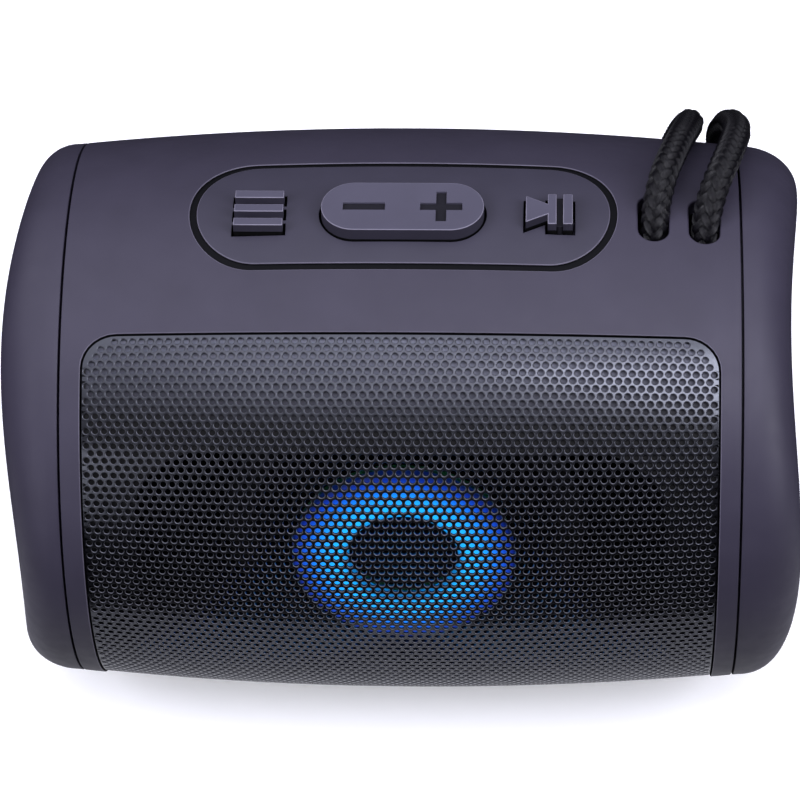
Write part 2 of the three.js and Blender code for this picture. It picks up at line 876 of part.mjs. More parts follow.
speaker.add(
  piece('body_shell', makeBodyShell(), casing),
  leftEnd,
  makeEnd('right', rightLobeAngle),
  piece('front_foot', makeFoot(-1), blackRubber),
  piece('rear_foot', makeFoot(1), blackRubber),

  piece('front_grille', grillePlate(0, grilleDrop, grilleBack, 12, 12), grilleSteel),
  piece('grille_frame', makeGrilleFrame(), blackPlastic),
  piece('front_baffle', makeBaffle(), blackPlastic),
  piece('light_ring', makeLightRing(), diffuserPlastic),
  piece('light_ring_board', makeLightRingBoard(), boardGreen),
  piece('light_ring_bridge', makeLightRingBridge(), blackPlastic),
  makeDriver(),

  piece('control_panel', makeControlPanel(), casing),
  piece('mode_key', makeModeKey(), keyPlastic),
  piece('volume_rocker', makeVolumeRocker(), keyPlastic),
  piece('play_key', makePlayKey(), keyPlastic),
  piece('key_board', boxBetween([-33, -10, keyBoardTopZ - 1.2], [33, 9, keyBoardTopZ]), boardGreen),
  piece('mode_switch', makeSwitch(modeKeyX), chipBlack),
  piece('volume_down_switch', makeSwitch(-8), chipBlack),
  piece('volume_up_switch', makeSwitch(8), chipBlack),
  piece('play_switch', makeSwitch(playKeyX), chipBlack),

  piece('strap_pocket', makeStrapPocket(), blackPlastic),
  piece('strap_pin', makeStrapPin(), plainSteel),
  piece('strap_cord', tube(cordCurve, cordRadius, cordSides, cordSteps), cordNylon),

  piece('main_board', boxBetween([-34, 8, -25], [34, 9.6, 25]), boardGreen),
  piece('wireless_module', box(18, 2, 15, -18, 10.9, -12), plainSteel),
  piece('amplifier_chip', box(8, 1.4, 8, 12, 10.6, -12), chipBlack),
  piece('power_inductor', box(7, 2.6, 7, 26, 11.2, -12), ferrite),
  piece('battery_cell', makeCell(), cellWrap),
  piece('battery_cradle', makeCellCradle(), blackPlastic),
  makePort(),
  piece('port_cover', makePortCover(), blackRubber),
);

export default speaker;
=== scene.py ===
import math

import bmesh
import bpy
import numpy as np
from mathutils import Matrix, Vector
from mathutils.geometry import delaunay_2d_cdt


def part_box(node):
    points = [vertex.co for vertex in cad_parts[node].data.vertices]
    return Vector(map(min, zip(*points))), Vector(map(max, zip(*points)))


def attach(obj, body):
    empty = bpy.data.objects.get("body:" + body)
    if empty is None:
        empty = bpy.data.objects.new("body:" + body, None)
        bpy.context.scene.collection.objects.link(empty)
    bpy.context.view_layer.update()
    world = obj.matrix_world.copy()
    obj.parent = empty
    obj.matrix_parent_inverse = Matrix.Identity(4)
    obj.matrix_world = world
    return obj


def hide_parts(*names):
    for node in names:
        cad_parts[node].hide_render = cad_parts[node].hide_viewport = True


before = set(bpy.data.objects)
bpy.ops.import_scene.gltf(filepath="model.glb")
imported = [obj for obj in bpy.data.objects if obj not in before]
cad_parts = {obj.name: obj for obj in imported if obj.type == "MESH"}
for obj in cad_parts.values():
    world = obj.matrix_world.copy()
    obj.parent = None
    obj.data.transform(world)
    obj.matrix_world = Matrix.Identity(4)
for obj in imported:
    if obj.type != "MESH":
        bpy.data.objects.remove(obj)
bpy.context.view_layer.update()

mm = 0.001

# ---- Sizes that the frame gives ----

grille_low, grille_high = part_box("front_grille")
_, body_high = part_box("body_shell")
ring_low, ring_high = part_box("light_ring")

AXIS_Z = (grille_low.z + grille_high.z) / 2
MAX_RADIUS = body_high.y
BODY_END = body_high.x
GRILLE_HALF_LENGTH = grille_high.x
RING_TALLNESS = (ring_high.z - ring_low.z) / (ring_high.x - ring_low.x)

# ---- Sizes of the visible shapes ----

PROFILE_ARC = 570 * mm
WALL = 2.6 * mm
EDGE = 0.14 * mm
SEAM_EDGE = 0.12 * mm

SEAM_GAP = 0.4 * mm
CAP_START = BODY_END + SEAM_GAP
SHOULDER = 57.6 * mm
RIM_DEPTH = 7.2 * mm
WAVE_HEIGHT = 1.1 * mm
WAVE_START = 59.5 * mm
CAP_END = 65.9 * mm
# Where the wave's first crest is, in degrees round from the front
LEFT_CREST = 62
RIGHT_CREST = 5

GRILLE_HALF_WIDTH = 52.4 * mm
GRILLE_CORNER = 5.5 * mm
GRILLE_GAP = 0.45 * mm
GRILLE_DROP = 0.3 * mm
GRILLE_THICKNESS = 0.5 * mm
GRILLE_GROW = 0.2 * mm
GRILLE_EDGE = 0.16 * mm
CLOTH_DEPTH = 1.2 * mm
HOLE_PITCH = 1.5 * mm
HOLE_RADIUS = 0.5 * mm
HOLE_ROUND = 0.18 * mm

PANEL_HALF_LENGTH = 35.8 * mm
PANEL_HALF_WIDTH = 12.8 * mm
PANEL_END = 11 * mm
PANEL_GROOVE = 1.2 * mm
GROOVE_DEPTH = 0.4 * mm

KEY_LINE_Y = -1.3 * mm
KEY_GAP = 0.4 * mm
KEY_EDGE = 0.13 * mm
SMALL_KEY_RISE = 1.6 * mm
ROCKER_RISE = 2.3 * mm
MODE_KEY_X = -24 * mm
PLAY_KEY_X = 24.45 * mm
SMALL_KEY_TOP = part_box("play_key")[1].z
ROCKER_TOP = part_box("volume_rocker")[1].z
ROCKER_LENGTH = 27.2 * mm
ROCKER_WIDTH = 11.2 * mm
SYMBOL_STROKE = 1.7 * mm
SYMBOL_SPAN = 7 * mm
SYMBOL_DEPTH = 0.4 * mm
SYMBOL_X = 6.45 * mm
# Heights over the barrel's axis, under the panel
KEY_BASE_HEIGHT = 42.9 * mm
ROCKER_FOOT_HEIGHT = 41.9 * mm

SLOT_XS = (41.8 * mm, 50.3 * mm)
SLOT_WIDTH = 5.2 * mm
# Degrees round from the front
SLOT_FRONT = 83.3
SLOT_BACK = 96

PORT_ANGLE = 205
PORT_HALF_LENGTH = 11 * mm
PORT_HALF_WIDTH = 7.1 * mm
FLAP_THICKNESS = 1.7 * mm

FOOT_Y = 13 * mm
FOOT_LENGTH = 72 * mm
FOOT_WIDTH = 8 * mm

CORD_CARRIERS = 16
CORD_PITCH = 15.4 * mm
CORD_STEP = 0.62 * mm
CORE_RADIUS = 1.45 * mm
STRAND_MIDDLE = 1.64 * mm
STRAND_SWING = 0.37 * mm
STRAND_WIDTH = 0.7 * mm
STRAND_THICKNESS = 0.5 * mm
STRAND_SIDES = 8

GLOW = 1.6
COOL = (0.9, 0.9, 1.0)
CENTRE = (0, 0, AXIS_Z)

# ---- The camera: angles in degrees ----

CAMERA_AZIMUTH = 3.0
CAMERA_ELEVATION = 47.0
CAMERA_ROLL = -1.86
CAMERA_DISTANCE = 756.7 * mm
CAMERA_LENS = 194.2
CAMERA_SHIFT = (-0.0118, 0.0102)


def make_camera():
    turn, lift, roll = (math.radians(v) for v in (CAMERA_AZIMUTH, CAMERA_ELEVATION, CAMERA_ROLL))
    back = Vector((math.sin(turn) * math.cos(lift), -math.cos(turn) * math.cos(lift), math.sin(lift)))
    level = Vector((math.cos(turn), math.sin(turn), 0))
    upright = back.cross(level)
    right = level * math.cos(roll) + upright * math.sin(roll)
    up = upright * math.cos(roll) - level * math.sin(roll)
    camera = bpy.data.objects.new("camera", bpy.data.cameras.new("camera"))
    place = Vector((0, 0, AXIS_Z)) + back * CAMERA_DISTANCE
    axes = Matrix((right, up, back)).transposed().to_4x4()
    camera.matrix_world = Matrix.Translation(place) @ axes
    camera.data.sensor_width = 36
    camera.data.lens = CAMERA_LENS
    camera.data.shift_x, camera.data.shift_y = CAMERA_SHIFT
    camera.data.clip_start = 10 * mm
    bpy.context.collection.objects.link(camera)
    bpy.context.scene.camera = camera


# ---- Surfaces: points, normals and tangents at (x, s) ----


def unit(vectors):
    return vectors / np.linalg.norm(vectors, axis=1)[:, None]


def steady(x, *direction):
    """The same direction for every x."""
    return np.tile(np.array(direction, float), (len(x), 1))


def radius_at(x):
    return MAX_RADIUS - PROFILE_ARC + np.sqrt(PROFILE_ARC**2 - x**2)


def arc(degrees):
    """The distance round the barrel at its widest, from the middle of the front."""
    return math.radians(degrees) * MAX_RADIUS


def barrel(x, s, depth):
    turn = s / MAX_RADIUS
    zero = np.zeros_like(x)
    out = np.stack([zero, -np.cos(turn), np.sin(turn)], -1)
    slope = -x / np.sqrt(PROFILE_ARC**2 - x**2)
    along = np.stack([zero + 1, zero, zero], -1)
    point = out * (radius_at(x) - depth)[:, None] + along * x[:, None] + (0, 0, AXIS_Z)
    normal = (out - along * slope[:, None]) / np.sqrt(1 + slope**2)[:, None]
    tangent = (along + out * slope[:, None]) / np.sqrt(1 + slope**2)[:, None]
    return point, normal, tangent, np.stack([zero, np.sin(turn), np.cos(turn)], -1)


def barrel_below(drop):
    return lambda x, s, depth: barrel(x, s, depth + drop)


def level(z):
    def surface(x, s, depth):
        point = np.stack([x, s, z - depth], -1)
        return point, steady(x, 0, 0, 1), steady(x, 1, 0, 0), steady(x, 0, 1, 0)

    return surface


# ---- Outlines: closed, counter-clockwise, each point with its outward direction ----


class Outline:
    def __init__(self, points, out=None):
        self.points = np.array(points, float)
        if out is None:
            ahead = unit(np.roll(self.points, -1, 0) - self.points)
            behind = np.roll(ahead, 1, 0)
            side = np.stack([ahead[:, 1], -ahead[:, 0]], -1)
            other = np.stack([behind[:, 1], -behind[:, 0]], -1)
            out = (side + other) / (1 + (side * other).sum(1))[:, None]
        self.out = np.array(out, float)

    def moved(self, x, s):
        return Outline(self.points + (x, s), self.out)


def rounded(half_length, half_width, end_length, end_width, step):
    """A rectangle whose corners are quarter ellipses."""
    turns = np.linspace(0, math.pi / 2, max(5, int(1.5 * end_width / step)))
    corner = np.stack([np.cos(turns) * end_length, np.sin(turns) * end_width], -1)
    corner_out = np.stack([np.cos(turns) * end_width, np.sin(turns) * end_length], -1)
    corner += (half_length - end_length, half_width - end_width)
    points, out = [], []
    for x, y, order in ((1, 1, 1), (-1, 1, -1), (-1, -1, 1), (1, -1, -1)):
        points += list((corner * (x, y))[::order])
        out += list((corner_out * (x, y))[::order])
    return densified(points, out, step)


def densified(points, out, step):
    """The same outline with extra points where two neighbours are further apart than step."""
    points, out = np.array(points), unit(np.array(out))
    fine, fine_out = [], []
    for i, (a, b) in enumerate(zip(points, np.roll(points, -1, 0))):
        gap = np.linalg.norm(b - a)
        if gap < 1e-7:
            continue
        count = max(1, round(gap / step))
        fine += [a + (b - a) * k / count for k in range(count)]
        fine_out += [out[i]] * count
    return Outline(fine, fine_out)


def stadium(length, width, step):
    return rounded(length / 2, width / 2, width / 2, width / 2, step)


def rectangle(width, height):
    x, y = width / 2, height / 2
    return Outline([(-x, -y), (x, -y), (x, y), (-x, y)])


def inside(points, loop):
    """Which of the points lie in the closed loop."""
    x, y = points[:, :1], points[:, 1:]
    ax, ay = loop[:, 0], loop[:, 1]
    bx, by = np.roll(ax, -1), np.roll(ay, -1)
    crosses = (ay > y) != (by > y)
    with np.errstate(divide="ignore", invalid="ignore"):
        at = ax + (y - ay) * (bx - ax) / (by - ay)
    return (crosses & (x < at)).sum(1) % 2 == 1


# ---- Building meshes on a surface ----


class Skin:
    """Faces on a surface, with the surface's own normal at every corner."""

    def __init__(self, surface):
        self.surface = surface
        self.flat = np.zeros((0, 2))
        self.points = np.zeros((0, 3))
        self.normals = np.zeros((0, 3))
        self.faces = []
        self.finishes = []
        self.finish = 0

    def add(self, flat, depth, lean=0.0, toward=None):
        """Corners at flat, depth below the surface, their normals leaning toward a direction."""
        flat = np.array(flat, float)
        x, s = flat[:, 0], flat[:, 1]
        point, normal, along, round_ = self.surface(x, s, np.zeros_like(x) + depth)
        if toward is not None:
            toward = unit(toward)
            sideways = along * toward[:, :1] + round_ * toward[:, 1:]
            normal = normal * math.cos(lean) + sideways * math.sin(lean)
        first = len(self.points)
        self.flat = np.vstack([self.flat, flat])
        self.points = np.vstack([self.points, point])
        self.normals = np.vstack([self.normals, normal])
        return np.arange(first, first + len(flat))

    def face(self, corners):
        self.faces.append([int(c) for c in corners])
        self.finishes.append(self.finish)

    def strip(self, upper, lower, flip=False, ring=True):
        """Quads between two rows of corners; a ring closes on itself."""
        count = len(upper)
        for i in range(count if ring else count - 1):
            j = (i + 1) % count
            quad = (upper[i], lower[i], lower[j], upper[j])
            self.face(quad[::-1] if flip else quad)

    def edge(self, outline, side, radius, walls, steps=4, shine=None):
        """A rounded edge and a wall: side is 1 round a pad and -1 round a hole. Returns (top, foot).

        walls is the wall's depth, or the depth and finish of each part of it.
        """
        rows, plain = [], self.finish
        if not isinstance(walls, list):
            walls = [(walls, plain)]
        for k in range(steps + 1):
            lean = math.pi / 2 * k / steps
            flat = outline.points - outline.out * (side * radius * (1 - math.sin(lean)))
            rows.append(self.add(flat, radius * (1 - math.cos(lean)), lean, outline.out * side))
        rows += [self.add(outline.points, depth, math.pi / 2, outline.out * side) for depth, _ in walls]
        finishes = [plain if shine is None else shine] * steps + [finish for _, finish in walls]
        for upper, lower, self.finish in zip(rows, rows[1:], finishes):
            self.strip(upper, lower, flip=side < 0)
        self.finish = plain
        return rows[0], rows[-1]

    def corners_of(self, loop, depth, down=False):
        """New corners over those of a loop, with the surface's plain normal."""
        found = self.add(self.flat[loop], depth)
        if down:
            self.normals[found] *= -1
        return found

    def fill(self, borders, holes, depth, spacing, down=False):
        """Triangles inside the borders and outside the holes."""
        loops = [self.flat[loop] for loop in [*borders, *holes]]
        outer, cut = loops[: len(borders)], loops[len(borders) :]

        def filled(places):
            keep = np.any([inside(places, loop) for loop in outer], 0)
            for loop in cut:
                keep &= ~inside(places, loop)
            return keep

        low = np.min([loop.min(0) for loop in outer], 0)
        high = np.max([loop.max(0) for loop in outer], 0)
        counts = [max(2, int(round((high[k] - low[k]) / spacing[k])) + 1) for k in (0, 1)]
        grid = np.stack(
            np.meshgrid(*[np.linspace(low[k], high[k], counts[k]) for k in (0, 1)], indexing="ij"), -1
        ).reshape(-1, 2)
        rim = np.vstack(loops)
        grid = grid[filled(grid)]
        own = np.concatenate([*borders, *holes])
        if len(grid):
            near = [np.min(np.linalg.norm(rim - p, axis=1)) for p in grid]
            grid = grid[np.array(near) > 0.45 * min(spacing)]
        if len(grid):
            fresh = self.add(grid, depth)
            if down:
                self.normals[fresh] *= -1
            own = np.concatenate([own, fresh])
        edges, start = [], 0
        for loop in [*borders, *holes]:
            count = len(loop)
            edges += [(start + i, start + (i + 1) % count) for i in range(count)]
            start += count
        flat = self.flat[own]
        made = delaunay_2d_cdt([Vector(p / mm) for p in flat], edges, [], 0, 1e-5)
        numbers = np.array([own[source[0]] if source else -1 for source in made[3]])
        triangles = numbers[np.array(made[2])]
        triangles = triangles[(triangles >= 0).all(1)]
        for a, b, c in triangles[filled(self.flat[triangles].mean(1))]:
            (ax, ay), (bx, by), (cx, cy) = self.flat[a], self.flat[b], self.flat[c]
            left = (bx - ax) * (cy - ay) - (by - ay) * (cx - ax) > 0
            self.face((a, b, c) if left != down else (a, c, b))

    def shell(self, outline, holes, radius, thickness, spacing):
        """A plate of that thickness with rounded edges, and holes through it."""
        top, foot = self.edge(outline, 1, radius, thickness)
        cut = [self.edge(hole, -1, radius, thickness) for hole in holes]
        self.fill([top], [upper for upper, _ in cut], 0, spacing)
        under = [self.corners_of(loop, thickness, down=True) for loop in [foot, *(low for _, low in cut)]]
        self.fill(under[:1], under[1:], thickness, (spacing[0] * 2, spacing[1] * 2), down=True)

    def pit(self, outline, radius, depth, spacing, finish):
        """A recess with a floor. Returns its upper loop, for the face round it."""
        top, foot = self.edge(outline, -1, radius, depth, steps=2)
        old, self.finish = self.finish, finish
        self.fill([self.corners_of(foot, depth)], [], depth, spacing)
        self.finish = old
        return top

    def make(self, name, *materials, part=None):
        points, normals, faces = self.points, self.normals, self.faces
        finishes = np.array(self.finishes)
        if part is not None:
            centres = np.array([points[f].mean(0) for f in faces])
            chosen = part(centres)
            faces = [f for f, use in zip(faces, chosen) if use]
            finishes = finishes[chosen]
        key = np.round(np.hstack([points * 1e7, normals * 100])).astype(np.int64)
        _, first, same = np.unique(key, axis=0, return_index=True, return_inverse=True)
        same = same.reshape(-1)
        faces = [[int(same[c]) for c in f] for f in faces]
        used = np.unique([c for f in faces for c in f])
        renumber = np.full(len(first), -1)
        renumber[used] = np.arange(len(used))
        faces = [[int(renumber[c]) for c in f] for f in faces]
        kept = first[used]
        return new_mesh(name, points[kept], faces, materials, normals[kept], finishes)


def new_mesh(name, points, faces, materials, normals=None, finishes=None):
    mesh = bpy.data.meshes.new(name)
    mesh.from_pydata([tuple(p) for p in points], [], faces)
    for item in materials:
        mesh.materials.append(item)
    mesh.polygons.foreach_set("use_smooth", [True] * len(mesh.polygons))
    if finishes is not None:
        mesh.polygons.foreach_set("material_index", [int(f) for f in finishes])
    mesh.update()
    if normals is not None:
        mesh.normals_split_custom_set_from_vertices([tuple(n) for n in normals])
    made = bpy.data.objects.new(name, mesh)
    bpy.context.collection.objects.link(made)
    return made


def lathe(name, profile, segments, materials, placed, warp=None, sharp=40):
    """A closed profile of [along, radius] turned round an axis; placed maps (along, out, turn) to points."""
    profile = np.array(profile, float)
    count = len(profile)
    turns = 2 * math.pi * np.arange(segments) / segments
    along = np.repeat(profile[None, :, 0], segments, 0)
    radius = np.repeat(profile[None, :, 1], segments, 0)
    around = np.repeat(turns[:, None], count, 1)
    if warp is not None:
        along = along + warp(along, around)
    points = placed(along, radius, around).reshape(-1, 3)
    faces = []
    for i in range(segments):
        n = (i + 1) % segments
        for j in range(count):
            k = (j + 1) % count
            faces.append([i * count + j, i * count + k, n * count + k, n * count + j])
    made = new_mesh(name, points, faces, materials)
    merge_and_face_out(made.data)
    made.data.set_sharp_from_angle(angle=math.radians(sharp))
    return made


def merge_and_face_out(mesh):
    """Merges the corners that meet, and turns every face outwards."""
    work = bmesh.new()
    work.from_mesh(mesh)
    bmesh.ops.remove_doubles(work, verts=work.verts, dist=1e-7)
    bmesh.ops.dissolve_degenerate(work, edges=work.edges, dist=1e-8)
    bmesh.ops.recalc_face_normals(work, faces=work.faces)
    work.to_mesh(mesh)
    work.free()


def along_x(side):
    return lambda along, radius, turn: np.stack(
        [side * along, -radius * np.cos(turn), AXIS_Z + radius * np.sin(turn)], -1
    )


def along_y(tallness):
    return lambda along, radius, turn: np.stack(
        [radius * np.cos(turn), along, AXIS_Z + tallness * radius * np.sin(turn)], -1
    )


def rounded_profile(corners, steps=4):
    """A profile whose corners, [along, radius, rounding], are replaced by arcs."""
    points = []
    count = len(corners)
    for i in range(count):
        here = np.array(corners[i][:2], float)
        size = corners[i][2]
        before = np.array(corners[i - 1][:2], float) - here
        after = np.array(corners[(i + 1) % count][:2], float) - here
        if size == 0:
            points.append(here)
            continue
        before_unit = before / np.linalg.norm(before)
        after_unit = after / np.linalg.norm(after)
        half = math.acos(np.clip(before_unit @ after_unit, -1, 1)) / 2
        reach = min(size / math.tan(half), 0.49 * np.linalg.norm(before), 0.49 * np.linalg.norm(after))
        start, end = here + before_unit * reach, here + after_unit * reach
        for k in range(steps + 1):
            t = k / steps
            points.append((1 - t) ** 2 * start + 2 * t * (1 - t) * here + t * t * end)
    return points


# ---- Materials ----


class Shade:
    """A node material with a Principled shader, read in object coordinates."""

    def __init__(self, name, colour, roughness, metallic=0.0, **sockets):
        self.material = bpy.data.materials.new(name)
        self.material.use_nodes = True
        self.nodes = self.material.node_tree.nodes
        self.links = self.material.node_tree.links
        self.shader = self.nodes["Principled BSDF"]
        self.shader.inputs["Metallic"].default_value = metallic
        self.shader.inputs["Roughness"].default_value = roughness
        self.shader.inputs["Base Color"].default_value = (*colour, 1)
        for socket, value in sockets.items():
            self.shader.inputs[socket.replace("_", " ")].default_value = value
        self.colour = colour
        self.roughness = roughness
        self.place = self.nodes.new("ShaderNodeTexCoord").outputs["Object"]

    def node(self, kind, **settings):
        made = self.nodes.new(kind)
        for key, value in settings.items():
            if hasattr(made, key):
                setattr(made, key, value)
            else:
                made.inputs[key.replace("_", " ")].default_value = value
        return made

    def join(self, out, socket):
        self.links.new(out, socket)

    def scaled(self, x, y, z):
        """Coordinates stretched by a factor each way."""
        mapping = self.node("ShaderNodeMapping")
        mapping.inputs["Scale"].default_value = (x, y, z)
        self.join(self.place, mapping.inputs["Vector"])
        return mapping.outputs["Vector"]

    def noise(self, size, detail=2, place=None, distortion=0.0):
        made = self.node("ShaderNodeTexNoise", Scale=1 / size, Detail=detail, Distortion=distortion)
        self.join(place or self.place, made.inputs["Vector"])
        return made.outputs["Fac"]

    def spread(self, value, low, high, start=0.0, end=1.0):
        """A value mapped from [low, high] to [start, end]."""
        made = self.node("ShaderNodeMapRange")
        for key, number in zip(("From Min", "From Max", "To Min", "To Max"), (low, high, start, end)):
            made.inputs[key].default_value = number
        self.join(value, made.inputs["Value"])
        return made.outputs["Result"]

    def ramp(self, value, stops):
        made = self.node("ShaderNodeValToRGB")
        elements = made.color_ramp.elements
        while len(elements) < len(stops):
            elements.new(0.5)
        for element, (place, colour) in zip(elements, stops):
            element.position = place
            element.color = (*colour, 1)
        self.join(value, made.inputs["Fac"])
        return made.outputs["Color"]

    def math(self, operation, a, b=0.0, c=0.0):
        made = self.node("ShaderNodeMath", operation=operation)
        for socket, value in zip(made.inputs, (a, b, c)):
            if isinstance(value, (int, float)):
                socket.default_value = value
            else:
                self.join(value, socket)
        return made.outputs["Value"]

    def tint(self, value, amount):
        """The base colour, lighter and darker with the value."""
        dark = tuple(c * (1 - amount) for c in self.colour)
        light = tuple(min(1, c * (1 + amount)) for c in self.colour)
        self.join(self.ramp(value, [(0.3, dark), (0.7, light)]), self.shader.inputs["Base Color"])
        return self

    def gloss(self, value, amount):
        result = self.spread(value, 0.3, 0.7, self.roughness - amount, self.roughness + amount)
        self.join(result, self.shader.inputs["Roughness"])
        return self

    def bump(self, value, distance):
        made = self.node("ShaderNodeBump", Distance=distance, Strength=1.0)
        self.join(value, made.inputs["Height"])
        self.join(made.outputs["Normal"], self.shader.inputs["Normal"])
        return self

    def separate(self):
        made = self.node("ShaderNodeSeparateXYZ")
        self.join(self.place, made.inputs["Vector"])
        return made.outputs

    def wave(self, size, direction="X", distortion=0.0, place=None):
        made = self.node("ShaderNodeTexWave", wave_type="BANDS", Scale=1 / size, Distortion=distortion)
        made.bands_direction = direction
        self.join(place or self.place, made.inputs["Vector"])
        return made.outputs["Fac"]


def srgb(*values):
    return tuple(((v / 255 + 0.055) / 1.055) ** 2.4 if v > 10 else v / 255 / 12.92 for v in values)


def moulded(name, colour, roughness, grain=0.22 * mm, depth=0.006 * mm, amount=0.06, **sockets):
    """Moulded plastic with a fine eroded texture and slight unevenness."""
    shade = Shade(name, colour, roughness, **sockets)
    shade.tint(shade.noise(9 * mm, 3), amount)
    shade.gloss(shade.noise(2.5 * mm, 3), 0.04)
    shade.bump(shade.noise(grain, 3), depth)
    return shade.material


def metal(name, colour, roughness, stretch, amount=0.12, depth=0.004 * mm):
    """Metal with fine scratches that run along one axis."""
    shade = Shade(name, colour, roughness, metallic=1.0)
    lines = shade.noise(1 * mm, 4, shade.scaled(*stretch))
    shade.tint(lines, amount).gloss(lines, 0.1).bump(lines, depth)
    return shade.material


SATIN = {"Specular_IOR_Level": 0.3}
CASING = moulded("satin_casing_plastic", srgb(51, 48, 61), 0.5, **SATIN)
KEYS = moulded("key_plastic", srgb(69, 67, 81), 0.5, grain=0.18 * mm, **SATIN)
# A darker copy of the key plastic for the keys' sides: painted shade
KEY_SIDE_SHADE = moulded("key_side_painted_shade", srgb(47, 45, 56), 0.6, grain=0.18 * mm, Specular_IOR_Level=0.2)
# Near black for the floors of the symbol pits and the play key's channel: painted shade in the recesses
RECESS_SHADE = moulded("key_recess_painted_shade", srgb(24, 23, 29), 0.75, grain=0.18 * mm, Specular_IOR_Level=0.15)
PANEL = moulded("panel_plastic", srgb(50, 48, 60), 0.5, **SATIN)
# A paler copy of the key plastic for the keys' rounded edges: a painted highlight
KEY_RIM_HIGHLIGHT = moulded("key_rim_painted_highlight", srgb(108, 105, 119), 0.45, amount=0.1, **SATIN)
# A paler copy of the casing plastic for rounded edges: a painted highlight
EDGE_HIGHLIGHT = moulded("edge_painted_highlight_plastic", srgb(84, 81, 94), 0.45, amount=0.12, **SATIN)
# Near black for the groove round the panel: painted shade
GROOVE_SHADE = moulded("groove_painted_shade", srgb(9, 9, 12), 0.7, Specular_IOR_Level=0.1)
BLACK = moulded("black_plastic", srgb(20, 20, 22), 0.55)
# Matt black for black inner parts, and for the walls of openings and gaps, where it is painted shade
BLACK_AND_SHADE = moulded("matt_black_and_painted_shade", srgb(7, 7, 8), 0.95, grain=0.5 * mm, Specular_IOR_Level=0.1)
RUBBER = moulded("black_rubber", srgb(27, 27, 29), 0.8, grain=0.4 * mm, depth=0.012 * mm)
CHIP = moulded("chip_resin", srgb(26, 26, 28), 0.42, grain=0.12 * mm)


def make_sheet_steel(name, colour, roughness, specular, amount):
    shade = Shade(name, colour, roughness, Specular_IOR_Level=specular)
    fine = shade.noise(0.5 * mm, 3)
    shade.tint(shade.noise(6 * mm, 3), amount).gloss(fine, 0.05).bump(fine, 0.003 * mm)
    return shade


def make_grille_steel():
    shade = make_sheet_steel("enamelled_perforated_steel", srgb(9, 9, 12), 0.18, 0.95, 0.1)
    shade.shader.inputs["Specular Tint"].default_value = (0.84, 0.88, 1.0, 1)
    return shade.material


def make_hole_rim_highlight():
    """A paler finish for the rounding at the mouth of every hole: a painted highlight, standing in for the
    glints on the rims.
    """
    return make_sheet_steel("hole_rim_painted_highlight", srgb(66, 66, 74), 0.34, 0.7, 0.2).material


def make_painted_light_cloth():
    """Speaker cloth, painted light and shade: black low down and paler toward the top, standing in for the
    light seen through the upper holes.
    """
    shade = Shade("speaker_cloth_painted_light", srgb(6, 6, 8), 0.6, Specular_IOR_Level=0.4)
    z = shade.separate()[2]
    height = shade.math("MULTIPLY_ADD", shade.noise(3 * mm, 3), 1 * mm, z)
    share = shade.spread(height, AXIS_Z + 30 * mm, AXIS_Z + 42 * mm)
    colours = [(0.0, (6, 6, 8)), (0.25, (16, 16, 20)), (0.6, (94, 95, 109)), (1.0, (150, 152, 170))]
    painted_light = shade.ramp(share, [(place, srgb(*colour)) for place, colour in colours])
    shade.join(painted_light, shade.shader.inputs["Base Color"])
    weave = shade.math("MULTIPLY", shade.wave(0.16 * mm, "X"), shade.wave(0.16 * mm, "Z"))
    shade.bump(weave, 0.004 * mm)
    return shade.material


def make_braid():
    shade = Shade("braided_nylon", srgb(10, 9, 14), 0.34)
    along = shade.node("ShaderNodeTexCoord").outputs["UV"]
    fibres = shade.wave(0.09, "X", distortion=1.2, place=along)
    shade.tint(fibres, 0.35).gloss(fibres, 0.08).bump(fibres, 0.05 * mm)
    return shade.material


def make_diffuser():
    """The light ring: brightest where its lamps are, and deeper blue outside."""
    shade = Shade("lit_diffuser", srgb(12, 40, 70), 0.4)
    x, _, z = shade.separate()
    height = shade.math("DIVIDE", shade.math("SUBTRACT", z, AXIS_Z), RING_TALLNESS)
    square = shade.math("ADD", shade.math("MULTIPLY", x, x), shade.math("MULTIPLY", height, height))
    share = shade.spread(shade.math("SQRT", square), 9 * mm, 19 * mm)
    colours = [
        (0.0, (6, 60, 110)),
        (0.08, (14, 120, 185)),
        (0.2, (26, 160, 232)),
        (0.45, (24, 142, 232)),
        (0.65, (16, 100, 205)),
        (0.82, (10, 58, 165)),
        (0.94, (6, 28, 112)),
        (1.0, (3, 10, 50)),
    ]
    glow = shade.ramp(share, [(place, srgb(*colour)) for place, colour in colours])
    shade.join(glow, shade.shader.inputs["Emission Color"])
    shade.shader.inputs["Emission Strength"].default_value = GLOW
    shade.bump(shade.noise(0.3 * mm, 2), 0.004 * mm)
    return shade.material


def make_board():
    shade = Shade("circuit_board", srgb(16, 72, 44), 0.42)
    tracks = shade.math("GREATER_THAN", shade.wave(1.1 * mm, "DIAGONAL", distortion=6), 0.62)
    dark, light = srgb(12, 58, 36), srgb(30, 100, 60)
    shade.join(shade.ramp(tracks, [(0.0, dark), (1.0, light)]), shade.shader.inputs["Base Color"])
    shade.bump(tracks, 0.03 * mm)
    return shade.material


def make_cone_paper():
    shade = Shade("cone_paper", srgb(16, 16, 18), 0.95)
    fibres = shade.noise(0.5 * mm, 5, distortion=1.5)
    shade.tint(fibres, 0.2).bump(fibres, 0.03 * mm)
    return shade.material


def make_spider_cloth():
    shade = Shade("spider_cloth", srgb(172, 140, 78), 0.95)
    weave = shade.math("MULTIPLY", shade.wave(0.5 * mm, "X"), shade.wave(0.5 * mm, "Z"))
    shade.tint(weave, 0.25).bump(weave, 0.08 * mm)
    return shade.material


def make_ferrite():
    shade = Shade("ferrite", srgb(46, 46, 48), 0.62)
    grain = shade.noise(0.3 * mm, 5)
    shade.tint(grain, 0.25).gloss(grain, 0.1).bump(grain, 0.02 * mm)
    return shade.material


